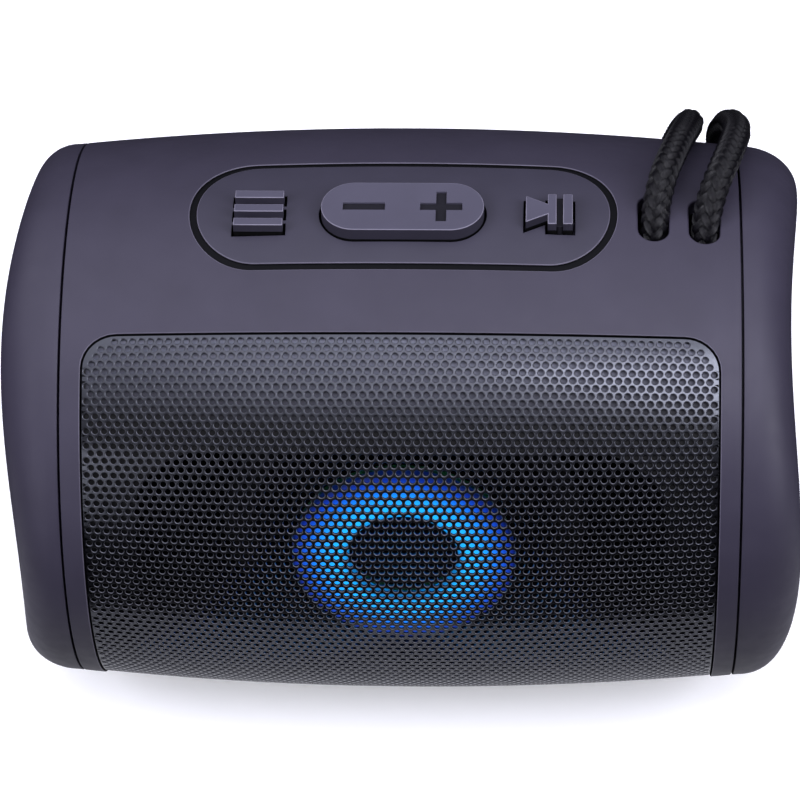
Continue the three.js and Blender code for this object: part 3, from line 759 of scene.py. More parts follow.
def make_winding():
    shade = Shade("copper_winding", srgb(190, 108, 48), 0.35, metallic=1.0)
    turns = shade.wave(0.16 * mm, "Y", distortion=0.3)
    shade.tint(turns, 0.3).bump(turns, 0.06 * mm)
    return shade.material


def make_cell_wrap():
    shade = Shade("cell_wrap", srgb(44, 92, 166), 0.4, Coat_Weight=0.4)
    folds = shade.noise(5 * mm, 3, shade.scaled(0.3, 1, 1))
    shade.tint(folds, 0.12).bump(folds, 0.05 * mm)
    return shade.material


GRILLE_STEEL = make_grille_steel()
HOLE_RIM_HIGHLIGHT = make_hole_rim_highlight()
BRAID = make_braid()
PAINTED_LIGHT_CLOTH = make_painted_light_cloth()
DIFFUSER = make_diffuser()
BOARD = make_board()
CONE_PAPER = make_cone_paper()
SPIDER_CLOTH = make_spider_cloth()
FERRITE = make_ferrite()
WINDING = make_winding()
CELL_WRAP = make_cell_wrap()
STEEL = metal("plain_steel", srgb(165, 167, 171), 0.36, (0.3, 1, 1))
BLACK_STEEL = moulded("black_enamel", srgb(12, 12, 13), 0.6, Specular_IOR_Level=0.3)
# The keys' finishes: face, painted shade in the recesses, painted highlight on the edges, painted shade on
# the sides, and black painted shade in the gaps
KEY_FINISHES = (KEYS, RECESS_SHADE, KEY_RIM_HIGHLIGHT, KEY_SIDE_SHADE, BLACK_AND_SHADE)
DISC = metal("radiator_plate", srgb(44, 43, 50), 0.4, (1, 0.6, 1), 0.06, 0.0012 * mm)

CAD_FINISHES = [
    (RUBBER, ["left_seal_ring", "right_seal_ring"]),
    (BLACK, ["grille_frame", "strap_pocket", "battery_cradle", "aux_socket"]),
    (BLACK_AND_SHADE, ["front_baffle", "light_ring_bridge", "driver_surround"]),
    (BOARD, ["light_ring_board", "key_board", "main_board", "port_board"]),
    (BLACK_STEEL, ["driver_basket", *(f"driver_screw_{k}" for k in range(1, 5))]),
    (CONE_PAPER, ["driver_cone", "driver_dust_cap"]),
    (WINDING, ["driver_voice_coil", "power_inductor"]),
    (SPIDER_CLOTH, ["driver_spider"]),
    (FERRITE, ["driver_magnet"]),
    (CHIP, ["amplifier_chip"]),
    (CELL_WRAP, ["battery_cell"]),
    (STEEL, ["driver_top_plate", "driver_yoke", "strap_pin", "wireless_module", "charge_socket"]),
    (STEEL, ["mode_switch", "volume_down_switch", "volume_up_switch", "play_switch"]),
]

# ---- The cord ----

# The cord's route: [x mm, degrees round from the front, radius mm]
CORD_ROUTE = [
    [41.8, 86.4, 38.9],
    [41.8, 86.5, 40.6],
    [41.9, 87.6, 44],
    [42.1, 89.9, 47.1],
    [42.6, 93, 49.4],
    [43.4, 96.7, 50.9],
    [44.4, 100.8, 51.4],
    [46.1, 108.5, 51.4],
    [47.4, 115.5, 51],
    [48.6, 128, 50.3],
    [48.3, 136, 49.9],
    [47.2, 149, 49.9],
    [45.3, 164, 50.5],
    [42.7, 180, 51.8],
    [40.4, 193, 53.9],
    [39.6, 201.5, 56.6],
    [39.6, 209.4, 60.6],
    [41, 213.7, 63.2],
    [44.8, 216.6, 65.2],
    [50.1, 217.7, 65.9],
    [55.4, 216.6, 65.2],
    [59.2, 213.7, 63.2],
    [60.6, 209.4, 60.6],
    [60.6, 201.5, 56.6],
    [60, 193, 53.9],
    [58.1, 180, 51.4],
    [55.4, 165, 50.1],
    [54.3, 152, 49.9],
    [54.8, 140, 49.9],
    [55.8, 132, 50.2],
    [56.4, 118, 50.9],
    [55.5, 109, 51.4],
    [53.8, 100.8, 51.4],
    [52.6, 96.7, 50.9],
    [51.5, 93, 49.4],
    [50.7, 89.9, 47.1],
    [50.4, 87.6, 44],
    [50.3, 86.5, 40.6],
    [50.3, 86.4, 38.9],
]


def smooth_line(stops, spacing, steps=24, passes=120):
    """An even line of points through the stops: a Catmull-Rom curve, then smoothed."""
    ends = [2 * stops[0] - stops[1], *stops, 2 * stops[-1] - stops[-2]]
    dense = []
    for a, b, c, d in zip(ends, ends[1:], ends[2:], ends[3:]):
        for t in np.linspace(0, 1, steps, endpoint=False):
            square, cube = 2 * a - 5 * b + 4 * c - d, 3 * b - a - 3 * c + d
            dense.append(0.5 * (2 * b + (c - a) * t + square * t**2 + cube * t**3))
    dense = np.array([*dense, stops[-1]])
    for _ in range(passes):
        dense[1:-1] = (dense[:-2] + 2 * dense[1:-1] + dense[2:]) / 4
    run = np.concatenate([[0], np.cumsum(np.linalg.norm(np.diff(dense, axis=0), axis=1))])
    even = np.linspace(0, run[-1], round(run[-1] / spacing) + 1)
    return np.stack([np.interp(even, run, dense[:, k]) for k in range(3)], -1), even


def carried_frames(line):
    """Two directions across the line at each point, carried along it without twist."""
    ahead = unit(np.gradient(line, axis=0))
    side = np.cross(ahead[0], (1, 0, 0))
    sides = [side / np.linalg.norm(side)]
    for direction in ahead[1:]:
        side = sides[-1] - direction * (sides[-1] @ direction)
        sides.append(side / np.linalg.norm(side))
    sides = np.array(sides)
    return sides, np.cross(ahead, sides)


def strand_line(line, run, side, over, hand, number):
    """One strand's centre line and the two directions across it."""
    wave = np.cos(math.pi / 2 * (2 * number + hand * CORD_CARRIERS * run / CORD_PITCH - 0.5))
    radius = STRAND_MIDDLE + hand * STRAND_SWING * np.tanh(1.6 * wave) / math.tanh(1.6)
    turn = 2 * math.pi * (hand * run / CORD_PITCH + number / (CORD_CARRIERS // 2))
    out = side * np.cos(turn)[:, None] + over * np.sin(turn)[:, None]
    centre = line + out * radius[:, None]
    ahead = unit(np.gradient(centre, axis=0))
    across = unit(np.cross(ahead, out))
    return centre, across, np.cross(across, ahead)


def oval_rings(centre, across, up, width, thickness):
    turns = 2 * math.pi * np.arange(STRAND_SIDES) / STRAND_SIDES
    wide, high = (np.cos(turns) * width)[:, None], (np.sin(turns) * thickness)[:, None]
    return centre[:, None] + across[:, None] * wide + up[:, None] * high


def make_cord():
    """A round braid: half the strands wind each way, and each goes over two and under two."""
    stops = []
    for x, angle, radius in CORD_ROUTE:
        turn = math.radians(angle)
        stops.append((x, -radius * math.cos(turn), radius * math.sin(turn) + AXIS_Z / mm))
    line, run = smooth_line(np.array(stops) * mm, CORD_STEP)
    side, over = carried_frames(line)
    sides = STRAND_SIDES
    points, faces, places = [], [], []

    def add_tube(rings):
        start, count = len(points), len(rings)
        points.extend(rings.reshape(-1, 3))
        for i in range(count - 1):
            for k in range(sides):
                n = (k + 1) % sides
                a, b = start + i * sides, start + (i + 1) * sides
                faces.append((a + k, a + n, b + n, b + k))
                places.append((k, i))
        for first, order in ((start, -1), (start + (count - 1) * sides, 1)):
            faces.append(tuple(range(first, first + sides))[::order])
            places.append(None)

    for hand in (1, -1):
        for number in range(CORD_CARRIERS // 2):
            strand = strand_line(line, run, side, over, hand, number)
            add_tube(oval_rings(*strand, STRAND_WIDTH, STRAND_THICKNESS))
    add_tube(oval_rings(line[::3], side[::3], over[::3], CORE_RADIUS, CORE_RADIUS))
    made = new_mesh("strap_braid", points, faces, [BRAID])
    layer = made.data.uv_layers.new(name="strand")
    for polygon, place in zip(made.data.polygons, places):
        if place is None:
            continue
        k, i = place
        for corner, (du, dv) in zip(polygon.loop_indices, ((0, 0), (1, 0), (1, 1), (0, 1))):
            layer.data[corner].uv = ((k + du) / sides, (i + dv) * CORD_STEP / (4 * mm))
    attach(made, "root")
    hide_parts("strap_cord")


def own(made, body, slot, *nodes):
    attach(made, body)
    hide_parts(*nodes)


# ---- The casing ----


def grille_outline(grow, step=1.0 * mm):
    corner = GRILLE_CORNER + grow
    return rounded(GRILLE_HALF_LENGTH + grow, GRILLE_HALF_WIDTH + grow, corner, corner, step)


def slot_outline(x):
    half = arc(SLOT_BACK - SLOT_FRONT) / 2
    return rounded(SLOT_WIDTH / 2, half, SLOT_WIDTH / 2, SLOT_WIDTH / 2, 0.5 * mm).moved(
        x, arc((SLOT_FRONT + SLOT_BACK) / 2)
    )


def port_outline(grow):
    size = (PORT_HALF_LENGTH + grow, PORT_HALF_WIDTH + grow)
    return rounded(*size, 3 * mm, 3 * mm, 0.6 * mm).moved(0, arc(PORT_ANGLE))


def panel_outline(inset, step=0.8 * mm):
    return rounded(
        PANEL_HALF_LENGTH - inset,
        PANEL_HALF_WIDTH - inset,
        PANEL_END - inset / 2,
        PANEL_HALF_WIDTH - inset,
        step,
    )


def casing_end(skin, side, round_):
    """The rounded end of the casing. Returns its first and last row of corners."""
    rows = []
    toward = np.tile((float(side), 0.0), (len(round_), 1))
    for k in range(5):
        lean = math.pi / 2 * k / 4
        x = side * (BODY_END - SEAM_EDGE * (1 - math.sin(lean)))
        flat = np.stack([np.full_like(round_, x), round_], -1)
        rows.append(skin.add(flat, SEAM_EDGE * (1 - math.cos(lean)), lean, toward))
    rows.append(skin.add(flat, WALL, math.pi / 2, toward))
    for upper, lower in zip(rows, rows[1:]):
        skin.strip(upper, lower, flip=side < 0, ring=False)
    return rows[0], rows[-1]


def make_body():
    skin = Skin(barrel)
    low, high = arc(-90), arc(270)
    round_ = np.linspace(low, high, 161)
    ends = {side: casing_end(skin, side, round_) for side in (1, -1)}
    across = np.linspace(-BODY_END + SEAM_EDGE, BODY_END - SEAM_EDGE, 41)[1:-1]

    def row(place, depth):
        return skin.add(np.stack([across, np.full_like(across, place)], -1), depth)

    lower_row, upper_row = row(low, 0), row(high, 0)
    border = np.concatenate([lower_row, ends[1][0], upper_row[::-1], ends[-1][0][::-1]])
    # Round the grille and the panel, the paler rounded edge is a painted highlight and the black wall is
    # painted shade
    cuts = [(grille_outline(GRILLE_GAP), EDGE, 1, 2), (panel_outline(0).moved(0, arc(90)), EDGE, 1, 2)]
    cuts += [(port_outline(0.3 * mm), EDGE, 0, 0)]
    cuts += [(slot_outline(x), 0.3 * mm, 0, 0) for x in SLOT_XS]
    holes = [skin.edge(hole, -1, radius, [(WALL, wall)], shine=shine) for hole, radius, shine, wall in cuts]
    skin.fill([border], [upper for upper, _ in holes], 0, (2.5 * mm, 2.5 * mm))
    inner_low, inner_high = row(low, WALL), row(high, WALL)
    right, left = (skin.corners_of(ends[side][1], WALL) for side in (1, -1))
    under = np.concatenate([inner_low, right, inner_high[::-1], left[::-1]])
    skin.normals[under] *= -1
    feet = [skin.corners_of(lower, WALL, down=True) for _, lower in holes]
    skin.fill([under], feet, WALL, (6 * mm, 5 * mm), down=True)
    own(skin.make("casing_barrel", CASING, EDGE_HIGHLIGHT, BLACK_AND_SHADE), "root", "casing", "body_shell")


def cap_profile():
    corners = []
    lip = CAP_START + SEAM_EDGE
    for k in range(5):
        turn = math.pi / 2 * k / 4
        drop = SEAM_EDGE * (1 - math.sin(turn))
        corners.append([lip - SEAM_EDGE * math.cos(turn), float(radius_at(lip)) - drop])
    for k in range(25):
        turn = math.pi / 2 * k / 24
        x = SHOULDER + (CAP_END - SHOULDER) * math.sin(turn)
        corners.append([x, float(radius_at(SHOULDER)) - RIM_DEPTH * (1 - math.cos(turn))])
    inner = rounded_profile(
        [
            [*corners[-1], 0],
            [CAP_END - 0.1 * mm, 38.2 * mm, 0.7 * mm],
            [CAP_END - 1.4 * mm, 37 * mm, 1.0 * mm],
            [WAVE_START, 34.8 * mm, 0.3 * mm],
            [WAVE_START, 31 * mm, 0],
            [57.5 * mm, 31 * mm, 0],
            [57.5 * mm, 40.4 * mm, 0],
            [54 * mm, 40.4 * mm, 0],
            [54 * mm, 43 * mm, 0.2 * mm],
            [CAP_START, 43 * mm, 0],
        ]
    )
    return [*corners, *inner[1:]]


def make_cap(name, side, crest):
    def wave(along, turn):
        share = np.maximum(0, along - WAVE_START) / (CAP_END - WAVE_START)
        return share * WAVE_HEIGHT * np.cos(3 * (turn - math.radians(crest)))

    made = lathe(f"{name}_cap_shell", cap_profile(), 180, [CASING], along_x(side), wave, sharp=38)
    own(made, "root", "casing", f"{name}_end_cap")


def make_radiator(name, side):
    plate = rounded_profile(
        [
            [56.6 * mm, 0.02 * mm, 0],
            [56.6 * mm, 17 * mm, 0.3 * mm],
            [55.8 * mm, 19 * mm, 0.3 * mm],
            [55.8 * mm, 21.6 * mm, 0.2 * mm],
            [60.2 * mm, 21.6 * mm, 0.35 * mm],
            [60.2 * mm, 19.5 * mm, 0.3 * mm],
            [59.2 * mm, 18.5 * mm, 0.5 * mm],
            [59.2 * mm, 8 * mm, 0],
            [59.35 * mm, 0.02 * mm, 0],
        ]
    )
    disc = lathe(f"{name}_radiator_plate", plate, 128, [DISC], along_x(side), sharp=30)
    own(disc, f"{name}_radiator", "radiator_plate", f"{name}_radiator_disc")
    roll = [[58.2 * mm, 22 * mm], [60.2 * mm, 22 * mm]]
    for k in range(1, 16):
        turn = math.pi * (1 - k / 16)
        roll.append([(60.2 + 2.6 * math.sin(turn)) * mm, (25.6 + 3.3 * math.cos(turn)) * mm])
    roll += [[60.4 * mm, 29.1 * mm], [60.8 * mm, 29.6 * mm], [60.8 * mm, 34 * mm], [60.6 * mm, 34.2 * mm]]
    roll += [[59.8 * mm, 34.2 * mm], [59.8 * mm, 28.4 * mm]]
    for k in range(1, 8):
        turn = math.pi * k / 8
        roll.append([(59.6 + 2 * math.sin(turn)) * mm, (25.6 + 2.2 * math.cos(turn)) * mm])
    roll.append([58.2 * mm, 22.9 * mm])
    surround = lathe(f"{name}_radiator_roll", roll, 128, [RUBBER], along_x(side), sharp=50)
    own(surround, "root", "black_rubber", f"{name}_radiator_surround")


# ---- The grille ----


def hole_centres():
    """The holes' places, and the stretch that brings the last row close to the edge."""
    row_pitch = HOLE_PITCH * math.sqrt(3) / 2
    rows = int(GRILLE_HALF_WIDTH / row_pitch) + 1
    columns = int(GRILLE_HALF_LENGTH / HOLE_PITCH) + 1
    stretch = (1, (GRILLE_HALF_WIDTH - 0.9 * mm) / ((rows - 1.5) * row_pitch))
    centres = [
        ((column + 0.5 * (row % 2)) * HOLE_PITCH, (row + 0.5) * row_pitch)
        for row in range(-rows, rows)
        for column in range(-columns, columns + 1)
    ]
    centres = np.array(centres) * stretch
    centres = centres[inside(centres, grille_outline(GRILLE_GROW - GRILLE_EDGE - 0.6 * mm).points)]
    room = np.abs(centres) < (GRILLE_HALF_LENGTH - 0.57 * mm, GRILLE_HALF_WIDTH - 0.8 * mm)
    return centres[room.all(1)], stretch


def loop_round(outer, corners):
    """The corners round the outside of all the cells, in order."""
    places = [tuple(place) for place in np.round(outer * 1e6).astype(int)]
    sides = []
    for first in range(0, len(places), 6):
        cell = places[first : first + 6]
        sides += zip(cell, cell[1:] + cell[:1])
    shared = set(sides)
    onward = {a: b for a, b in sides if (b, a) not in shared}
    start = next(iter(onward))
    loop, here = [start], onward[start]
    while here != start:
        loop.append(here)
        here = onward[here]
    numbers = dict(zip(places[::-1], corners[::-1]))
    return np.array([numbers[place] for place in loop])


def add_cells(skin, centres, stretch):
    """Six-sided cells of sheet round the holes, with their rims and walls. Returns the loop round them."""
    count = len(centres)
    turns = np.radians(30 + 60 * np.arange(6))
    corner = np.stack([np.cos(turns), np.sin(turns)], -1) * HOLE_PITCH / math.sqrt(3)
    around = np.radians(30 + 30 * np.arange(12))
    circle = np.stack([np.cos(around), np.sin(around)], -1)

    def ring(radius, depth, lean):
        flat = (centres[:, None] + circle[None] * radius).reshape(-1, 2)
        return skin.add(flat, depth, lean, np.tile(-circle, (count, 1))).reshape(count, 12)

    outer = (centres[:, None] + corner[None] * stretch).reshape(-1, 2)
    corners = skin.add(outer, 0).reshape(count, 6)
    rim = ring(HOLE_RADIUS + HOLE_ROUND, 0, 0)
    half = ring(HOLE_RADIUS + HOLE_ROUND * 0.3, HOLE_ROUND * 0.3, math.pi / 4)
    brink = ring(HOLE_RADIUS, HOLE_ROUND, math.pi / 2)
    foot = ring(HOLE_RADIUS, GRILLE_THICKNESS, math.pi / 2)
    blocks = []
    for i in range(6):
        j = (i + 1) % 6
        a, b, c = 2 * i, 2 * i + 1, (2 * i + 2) % 12
        blocks += [
            (0, [corners[:, i], rim[:, b], rim[:, a]]),
            (0, [corners[:, i], corners[:, j], rim[:, b]]),
            (0, [corners[:, j], rim[:, c], rim[:, b]]),
        ]
    # Finish 1, the paler steel on the rounding of each hole, is a painted highlight
    for upper, lower, finish in ((rim, half, 0), (half, brink, 1), (brink, foot, 0)):
        for k in range(12):
            n = (k + 1) % 12
            blocks.append((finish, [upper[:, k], upper[:, n], lower[:, n], lower[:, k]]))
    for skin.finish, block in blocks:
        for corners_ in np.stack(block, -1):
            skin.face(corners_)
    skin.finish = 0
    return loop_round(outer, corners.reshape(-1))


def make_grille():
    skin = Skin(barrel_below(GRILLE_DROP))
    inner_loop = add_cells(skin, *hole_centres())
    top, _ = skin.edge(grille_outline(GRILLE_GROW, 0.75 * mm), 1, GRILLE_EDGE, GRILLE_THICKNESS)
    skin.fill([top], [inner_loop], 0, (0.75 * mm, 0.65 * mm))
    # In four upright strips, as so many holes are too much for one mesh
    names = ("left", "middle_left", "middle_right", "right")
    marks = (-1, -GRILLE_HALF_LENGTH / 2, 0, GRILLE_HALF_LENGTH / 2, 1)
    for name, start, end in zip(names, marks, marks[1:]):
        made = skin.make(
            f"grille_sheet_{name}",
            GRILLE_STEEL,
            HOLE_RIM_HIGHLIGHT,
            part=lambda centre, start=start, end=end: (centre[:, 0] > start) & (centre[:, 0] <= end),
        )
        own(made, "root", "grille_steel", "front_grille")


def make_grille_cloth():
    """A band of cloth behind the sheet, open in front of the driver."""
    skin = Skin(barrel_below(CLOTH_DEPTH))
    opening = rounded(44 * mm, arc(38), 12 * mm, 12 * mm, 1.5 * mm)
    skin.shell(grille_outline(-0.4 * mm, 1.5 * mm), [opening], 0.02 * mm, 0.1 * mm, (3 * mm, 3 * mm))
    own(skin.make("grille_cloth", PAINTED_LIGHT_CLOTH), "root", "black_plastic", "front_grille")


# ---- The control panel and keys ----


def panel_top(x, y, depth):
    """The barrel's top as a surface over X and Y, with depth straight down."""
    radius = radius_at(x)
    height = np.sqrt(radius**2 - y**2)
    _, normal, _, _ = barrel(x, (math.pi / 2 + np.arcsin(y / radius)) * MAX_RADIUS, 0 * x)
    point = np.stack([x, y, AXIS_Z + height - depth], -1)
    return point, normal, steady(x, 1, 0, 0), steady(x, 0, 1, 0)


def over_panel(outline):
    """An outline on the barrel round its top, as X and Y."""
    x, s = outline.points.T
    return Outline(np.stack([x, radius_at(x) * np.sin(s / MAX_RADIUS)], -1), outline.out)


def bar_outlines(grow):
    pitch = 3.25 * mm
    return [
        rectangle(8.2 * mm + 2 * grow, SYMBOL_STROKE + 2 * grow).moved(MODE_KEY_X, KEY_LINE_Y + y)
        for y in (-pitch, 0, pitch)
    ]


def play_arrow(bar_end):
    """The arrow, and a bar after it that ends there."""
    top = [(bar_end, 3.5), (-0.25, 3.5), (-0.25, 1.2), (-3.9, 3.1)]
    return Outline(np.array([(-3.9, -3.1), (-0.25, -1.2), (-0.25, -3.5), (bar_end, -3.5), *top]) * mm)


def play_outline(grow):
    plain = play_arrow(3.9)
    return Outline(plain.points + plain.out * grow, plain.out).moved(PLAY_KEY_X, KEY_LINE_Y)


def rocker_outline(grow):
    return stadium(ROCKER_LENGTH + 2 * grow, ROCKER_WIDTH + 2 * grow, 0.35 * mm).moved(0, KEY_LINE_Y)


def plus_outline(x):
    a, b = SYMBOL_SPAN / 2, SYMBOL_STROKE / 2
    below = [(-a, -b), (-b, -b), (-b, -a), (b, -a), (b, -b), (a, -b)]
    return Outline([*below, *((-x_, -y) for x_, y in below)]).moved(x, KEY_LINE_Y)


def make_panel():
    skin = Skin(panel_top)
    # The pad's paler rounded edge is a painted highlight; the groove's near black wall and floor and the
    # black walls of the key holes are painted shade
    pad, foot = skin.edge(over_panel(panel_outline(PANEL_GROOVE)), 1, EDGE, [(GROOVE_DEPTH, 1)], shine=2)
    holes = [*bar_outlines(KEY_GAP), play_outline(KEY_GAP), rocker_outline(KEY_GAP)]
    rims = [skin.edge(hole, -1, 0.1 * mm, [(4.4 * mm, 3)], shine=0) for hole in holes]
    skin.fill([pad], [upper for upper, _ in rims], 0, (1.6 * mm, 1.6 * mm))
    # The groove's floor, near black as painted shade
    skin.finish = 1
    rim = skin.add(over_panel(panel_outline(-1.6 * mm)).points, GROOVE_DEPTH)
    skin.fill([rim], [skin.corners_of(foot, GROOVE_DEPTH)], GROOVE_DEPTH, (2 * mm, 0.9 * mm))
    made = skin.make("control_panel_pad", PANEL, GROOVE_SHADE, EDGE_HIGHLIGHT, BLACK_AND_SHADE)
    own(made, "root", "casing", "control_panel")


def key_pad(skin, outline, rise, depth, pits=()):
    """A key's face, its sides, and their black lower part in the gap round it, with a painted highlight on
    the edge and painted shade on the sides.
    """
    top, _ = skin.edge(outline, 1, KEY_EDGE, [(rise, 3), (depth, 4)], shine=2)
    skin.fill([top], list(pits), 0, (1.2 * mm, 1.2 * mm))


def key_base(skin, length, width, x, z_drop):
    """The dark plate under a key, z_drop below its top."""
    base = rectangle(length, width).moved(x, KEY_LINE_Y)
    top = skin.add(base.points, z_drop)
    skin.fill([top], [], z_drop, (2 * mm, 2 * mm))
    wall_top = skin.add(base.points, z_drop, math.pi / 2, base.out)
    wall_foot = skin.add(base.points, z_drop + 1 * mm, math.pi / 2, base.out)
    skin.strip(wall_top, wall_foot)


def make_mode_key():
    base_drop = SMALL_KEY_TOP - (AXIS_Z + KEY_BASE_HEIGHT)
    skin = Skin(level(SMALL_KEY_TOP))
    for bar in bar_outlines(0):
        key_pad(skin, bar, SMALL_KEY_RISE, base_drop)
    key_base(skin, 10.4 * mm, 10.4 * mm, MODE_KEY_X, base_drop)
    own(skin.make("mode_key_bars", *KEY_FINISHES), "mode_key", "key_plastic", "mode_key")


def make_play_key():
    base_drop = SMALL_KEY_TOP - (AXIS_Z + KEY_BASE_HEIGHT)
    skin = Skin(level(SMALL_KEY_TOP))
    bar = rectangle(1.6 * mm, 7 * mm).moved(PLAY_KEY_X + 3.1 * mm, KEY_LINE_Y)
    for outline in (play_arrow(1.2).moved(PLAY_KEY_X, KEY_LINE_Y), bar):
        key_pad(skin, outline, SMALL_KEY_RISE, base_drop)
    key_base(skin, 9.8 * mm, 9 * mm, PLAY_KEY_X, base_drop)
    own(skin.make("play_key_glyph", *KEY_FINISHES), "play_key", "key_plastic", "play_key")
    # The channel between the two bars, near black as painted shade
    channel_drop = 0.9 * mm
    skin = Skin(level(SMALL_KEY_TOP - channel_drop))
    skin.finish = 1
    channel = rectangle(1.3 * mm, 7 * mm - 2 * KEY_EDGE).moved(PLAY_KEY_X + 1.75 * mm, KEY_LINE_Y)
    top, _ = skin.edge(channel, 1, 0.05 * mm, base_drop - channel_drop)
    skin.fill([top], [], 0, (1 * mm, 1 * mm))
    own(skin.make("play_key_channel", KEYS, RECESS_SHADE), "play_key", "key_plastic", "play_key")


def make_rocker():
    skin = Skin(level(ROCKER_TOP))
    minus = rectangle(SYMBOL_SPAN, SYMBOL_STROKE).moved(-SYMBOL_X, KEY_LINE_Y)
    marks = [minus, plus_outline(SYMBOL_X)]
    pits = [skin.pit(mark, 0.1 * mm, SYMBOL_DEPTH, (1 * mm, 1 * mm), 1) for mark in marks]
    key_pad(skin, rocker_outline(0), ROCKER_RISE, ROCKER_TOP - (AXIS_Z + ROCKER_FOOT_HEIGHT), pits)
    key_base(skin, 8 * mm, ROCKER_WIDTH + 3.2 * mm, 0, ROCKER_TOP - (AXIS_Z + KEY_BASE_HEIGHT))
    own(skin.make("volume_rocker_pad", *KEY_FINISHES), "volume_rocker", "key_plastic", "volume_rocker")


# ---- The port cover, feet and light ring ----


def make_port_cover():
    skin = Skin(barrel)
    lip = stadium(7 * mm, 1.6 * mm, 0.3 * mm).moved(0, arc(PORT_ANGLE) - 5.4 * mm)
    pit = skin.pit(lip, 0.25 * mm, 0.5 * mm, (1 * mm, 1 * mm), 0)
    top, foot = skin.edge(port_outline(0), 1, 0.4 * mm, FLAP_THICKNESS)
    skin.fill([top], [pit], 0, (1.5 * mm, 1.5 * mm))
    under = skin.corners_of(foot, FLAP_THICKNESS, down=True)
    skin.fill([under], [], FLAP_THICKNESS, (2 * mm, 2 * mm), down=True)
    own(skin.make("port_cover_flap", RUBBER), "port_cover", "black_rubber", "port_cover")


def make_foot(name, side):
    low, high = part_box(f"{name}_foot")

    def underside(x, y, depth):
        point = np.stack([x, -y, low.z + depth], -1)
        return point, steady(x, 0, 0, -1), steady(x, 1, 0, 0), steady(x, 0, -1, 0)

    skin = Skin(underside)
    outline = stadium(FOOT_LENGTH, FOOT_WIDTH, 0.8 * mm).moved(0, -side * FOOT_Y)
    grooves = []
    for row in (-2, 0, 2):
        line = stadium(58 * mm, 0.7 * mm, 0.6 * mm).moved(0, -side * FOOT_Y + row * mm)
        grooves.append(skin.pit(line, 0.08 * mm, 0.35 * mm, (3 * mm, 1 * mm), 0))
    top, _ = skin.edge(outline, 1, 0.5 * mm, high.z - low.z - 0.1 * mm)
    skin.fill([top], grooves, 0, (2.5 * mm, 2.5 * mm))
    own(skin.make(f"{name}_foot_pad", RUBBER), "root", "black_rubber", f"{name}_foot")


def make_light_ring():
    front, back, reach = ring_low.y, ring_high.y, ring_high.x
    profile = rounded_profile(
        [
            [front + 0.5 * mm, 9.3 * mm, 0.1 * mm],
            [front, 9.9 * mm, 0.3 * mm],
            [front, reach - 0.6 * mm, 0.4 * mm],
            [front + 0.5 * mm, reach, 0.2 * mm],
            [back, reach, 0.1 * mm],
            [back, 9.3 * mm, 0.1 * mm],
        ]
    )
    made = lathe("light_ring_diffuser", profile, 128, [DIFFUSER], along_y(RING_TALLNESS), sharp=30)
    own(made, "root", "light_diffuser", "light_ring")


# ---- The studio ----


def make_area(name, place, target, size, power):
    lamp = bpy.data.lights.new(name, "AREA")
    lamp.shape = "RECTANGLE"
    lamp.size, lamp.size_y = size
    lamp.energy = power
    lamp.color = COOL
    made = bpy.data.objects.new(name, lamp)
    made.location = place
    made.rotation_mode = "QUATERNION"
    made.rotation_quaternion = (Vector(target) - Vector(place)).to_track_quat("-Z", "Y")
    bpy.context.collection.objects.link(made)
    return made


def make_floor():
    half = 3.0
    corners = [(-half, -half, 0), (half, -half, 0), (half, half, 0), (-half, half, 0)]
    floor = new_mesh("floor", corners, [[0, 1, 2, 3]], [])
    shade = Shade("pale_floor", (0.9, 0.9, 0.91), 0.8, Specular_IOR_Level=0.0)
    shade.tint(shade.noise(40 * mm, 2), 0.006)
    shade.shader.inputs["Emission Color"].default_value = (1, 1, 1, 1)
    shade.shader.inputs["Emission Strength"].default_value = 0.25
    floor.data.materials.append(shade.material)
    floor.location.z = -0.3 * mm
    floor.visible_glossy = False
    floor.visible_diffuse = False


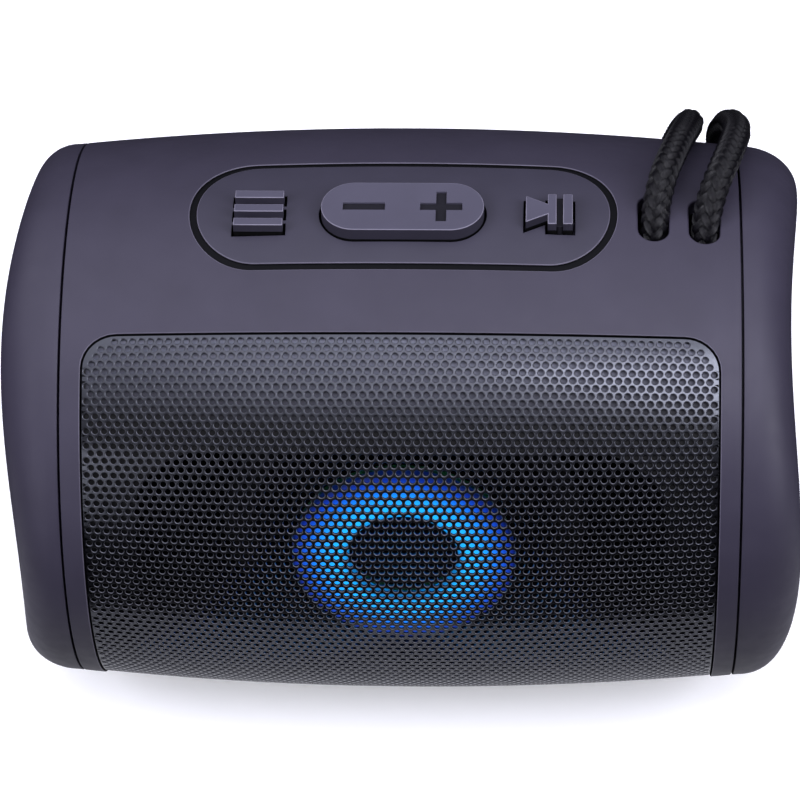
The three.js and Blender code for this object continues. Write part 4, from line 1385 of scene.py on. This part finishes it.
def make_world():
    """A soft sky: bright overhead, and dark round the horizon."""
    world = bpy.data.worlds.new("studio")
    bpy.context.scene.world = world
    world.use_nodes = True
    nodes, links = world.node_tree.nodes, world.node_tree.links
    background = nodes["Background"]
    place = nodes.new("ShaderNodeTexCoord").outputs["Generated"]
    split = nodes.new("ShaderNodeSeparateXYZ")
    links.new(place, split.inputs["Vector"])
    ramp = nodes.new("ShaderNodeValToRGB")
    elements = ramp.color_ramp.elements
    stops = [(0.5, 0.01), (0.66, 0.06), (0.78, 0.26), (0.86, 0.58), (0.93, 1.45), (1.0, 2.35)]
    while len(elements) < len(stops):
        elements.new(0.5)
    for element, (height, grey) in zip(elements, stops):
        element.position = height
        element.color = (grey * 0.93, grey * 0.93, grey * 1.07, 1)
    lift = nodes.new("ShaderNodeMapRange")
    lift.inputs["From Min"].default_value = -1
    links.new(split.outputs["Z"], lift.inputs["Value"])
    links.new(lift.outputs["Result"], ramp.inputs["Fac"])
    links.new(ramp.outputs["Color"], background.inputs["Color"])
    background.inputs["Strength"].default_value = 1.0


def make_card(name, place, size, power, target=CENTRE):
    """A lamp that is only seen in reflections, as a white card beside the object is."""
    card = make_area(name, place, target, size, power)
    card.visible_camera = False
    card.visible_diffuse = False


def make_soft(name, place, size, power):
    """A lamp that lights the object and is not seen in its reflections."""
    lamp = make_area(name, place, CENTRE, (size, size), power)
    lamp.visible_glossy = False


def make_lights():
    make_area("key_softbox", (0.1, -0.5, 0.95), CENTRE, (0.7, 0.4), 1.0)
    make_soft("left_fill", (-0.78, -0.45, 0.68), 0.6, 10)
    make_soft("right_fill", (0.78, -0.45, 0.68), 0.6, 11)
    make_card("low_card", (0, -0.045, 0.002), (0.5, 0.08), 0.084, (0, -0.045, 1))
    make_card("left_card", (-0.46, -0.62, 0.21), (0.5, 0.46), 1.5)
    make_card("right_card", (0.62, -0.3, 0.26), (0.16, 0.4), 1.7)
    make_card("high_card", (0.34, -0.5, 0.87), (0.46, 0.42), 3.4)
    make_card("rim_card", (-0.7, 0.3, 0.62), (0.5, 0.5), 1.4)


def main():
    bpy.context.scene.view_settings.view_transform = "Standard"
    make_camera()
    make_cord()
    make_body()
    make_cap("left", -1, LEFT_CREST)
    make_cap("right", 1, RIGHT_CREST)
    make_radiator("left", -1)
    make_radiator("right", 1)
    make_grille()
    make_grille_cloth()
    make_panel()
    make_mode_key()
    make_play_key()
    make_rocker()
    make_port_cover()
    make_foot("front", -1)
    make_foot("rear", 1)
    make_light_ring()
    for finish, names in CAD_FINISHES:
        for name in names:
            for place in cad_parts[name].material_slots:
                place.material = finish
    make_floor()
    make_world()
    make_lights()


main()
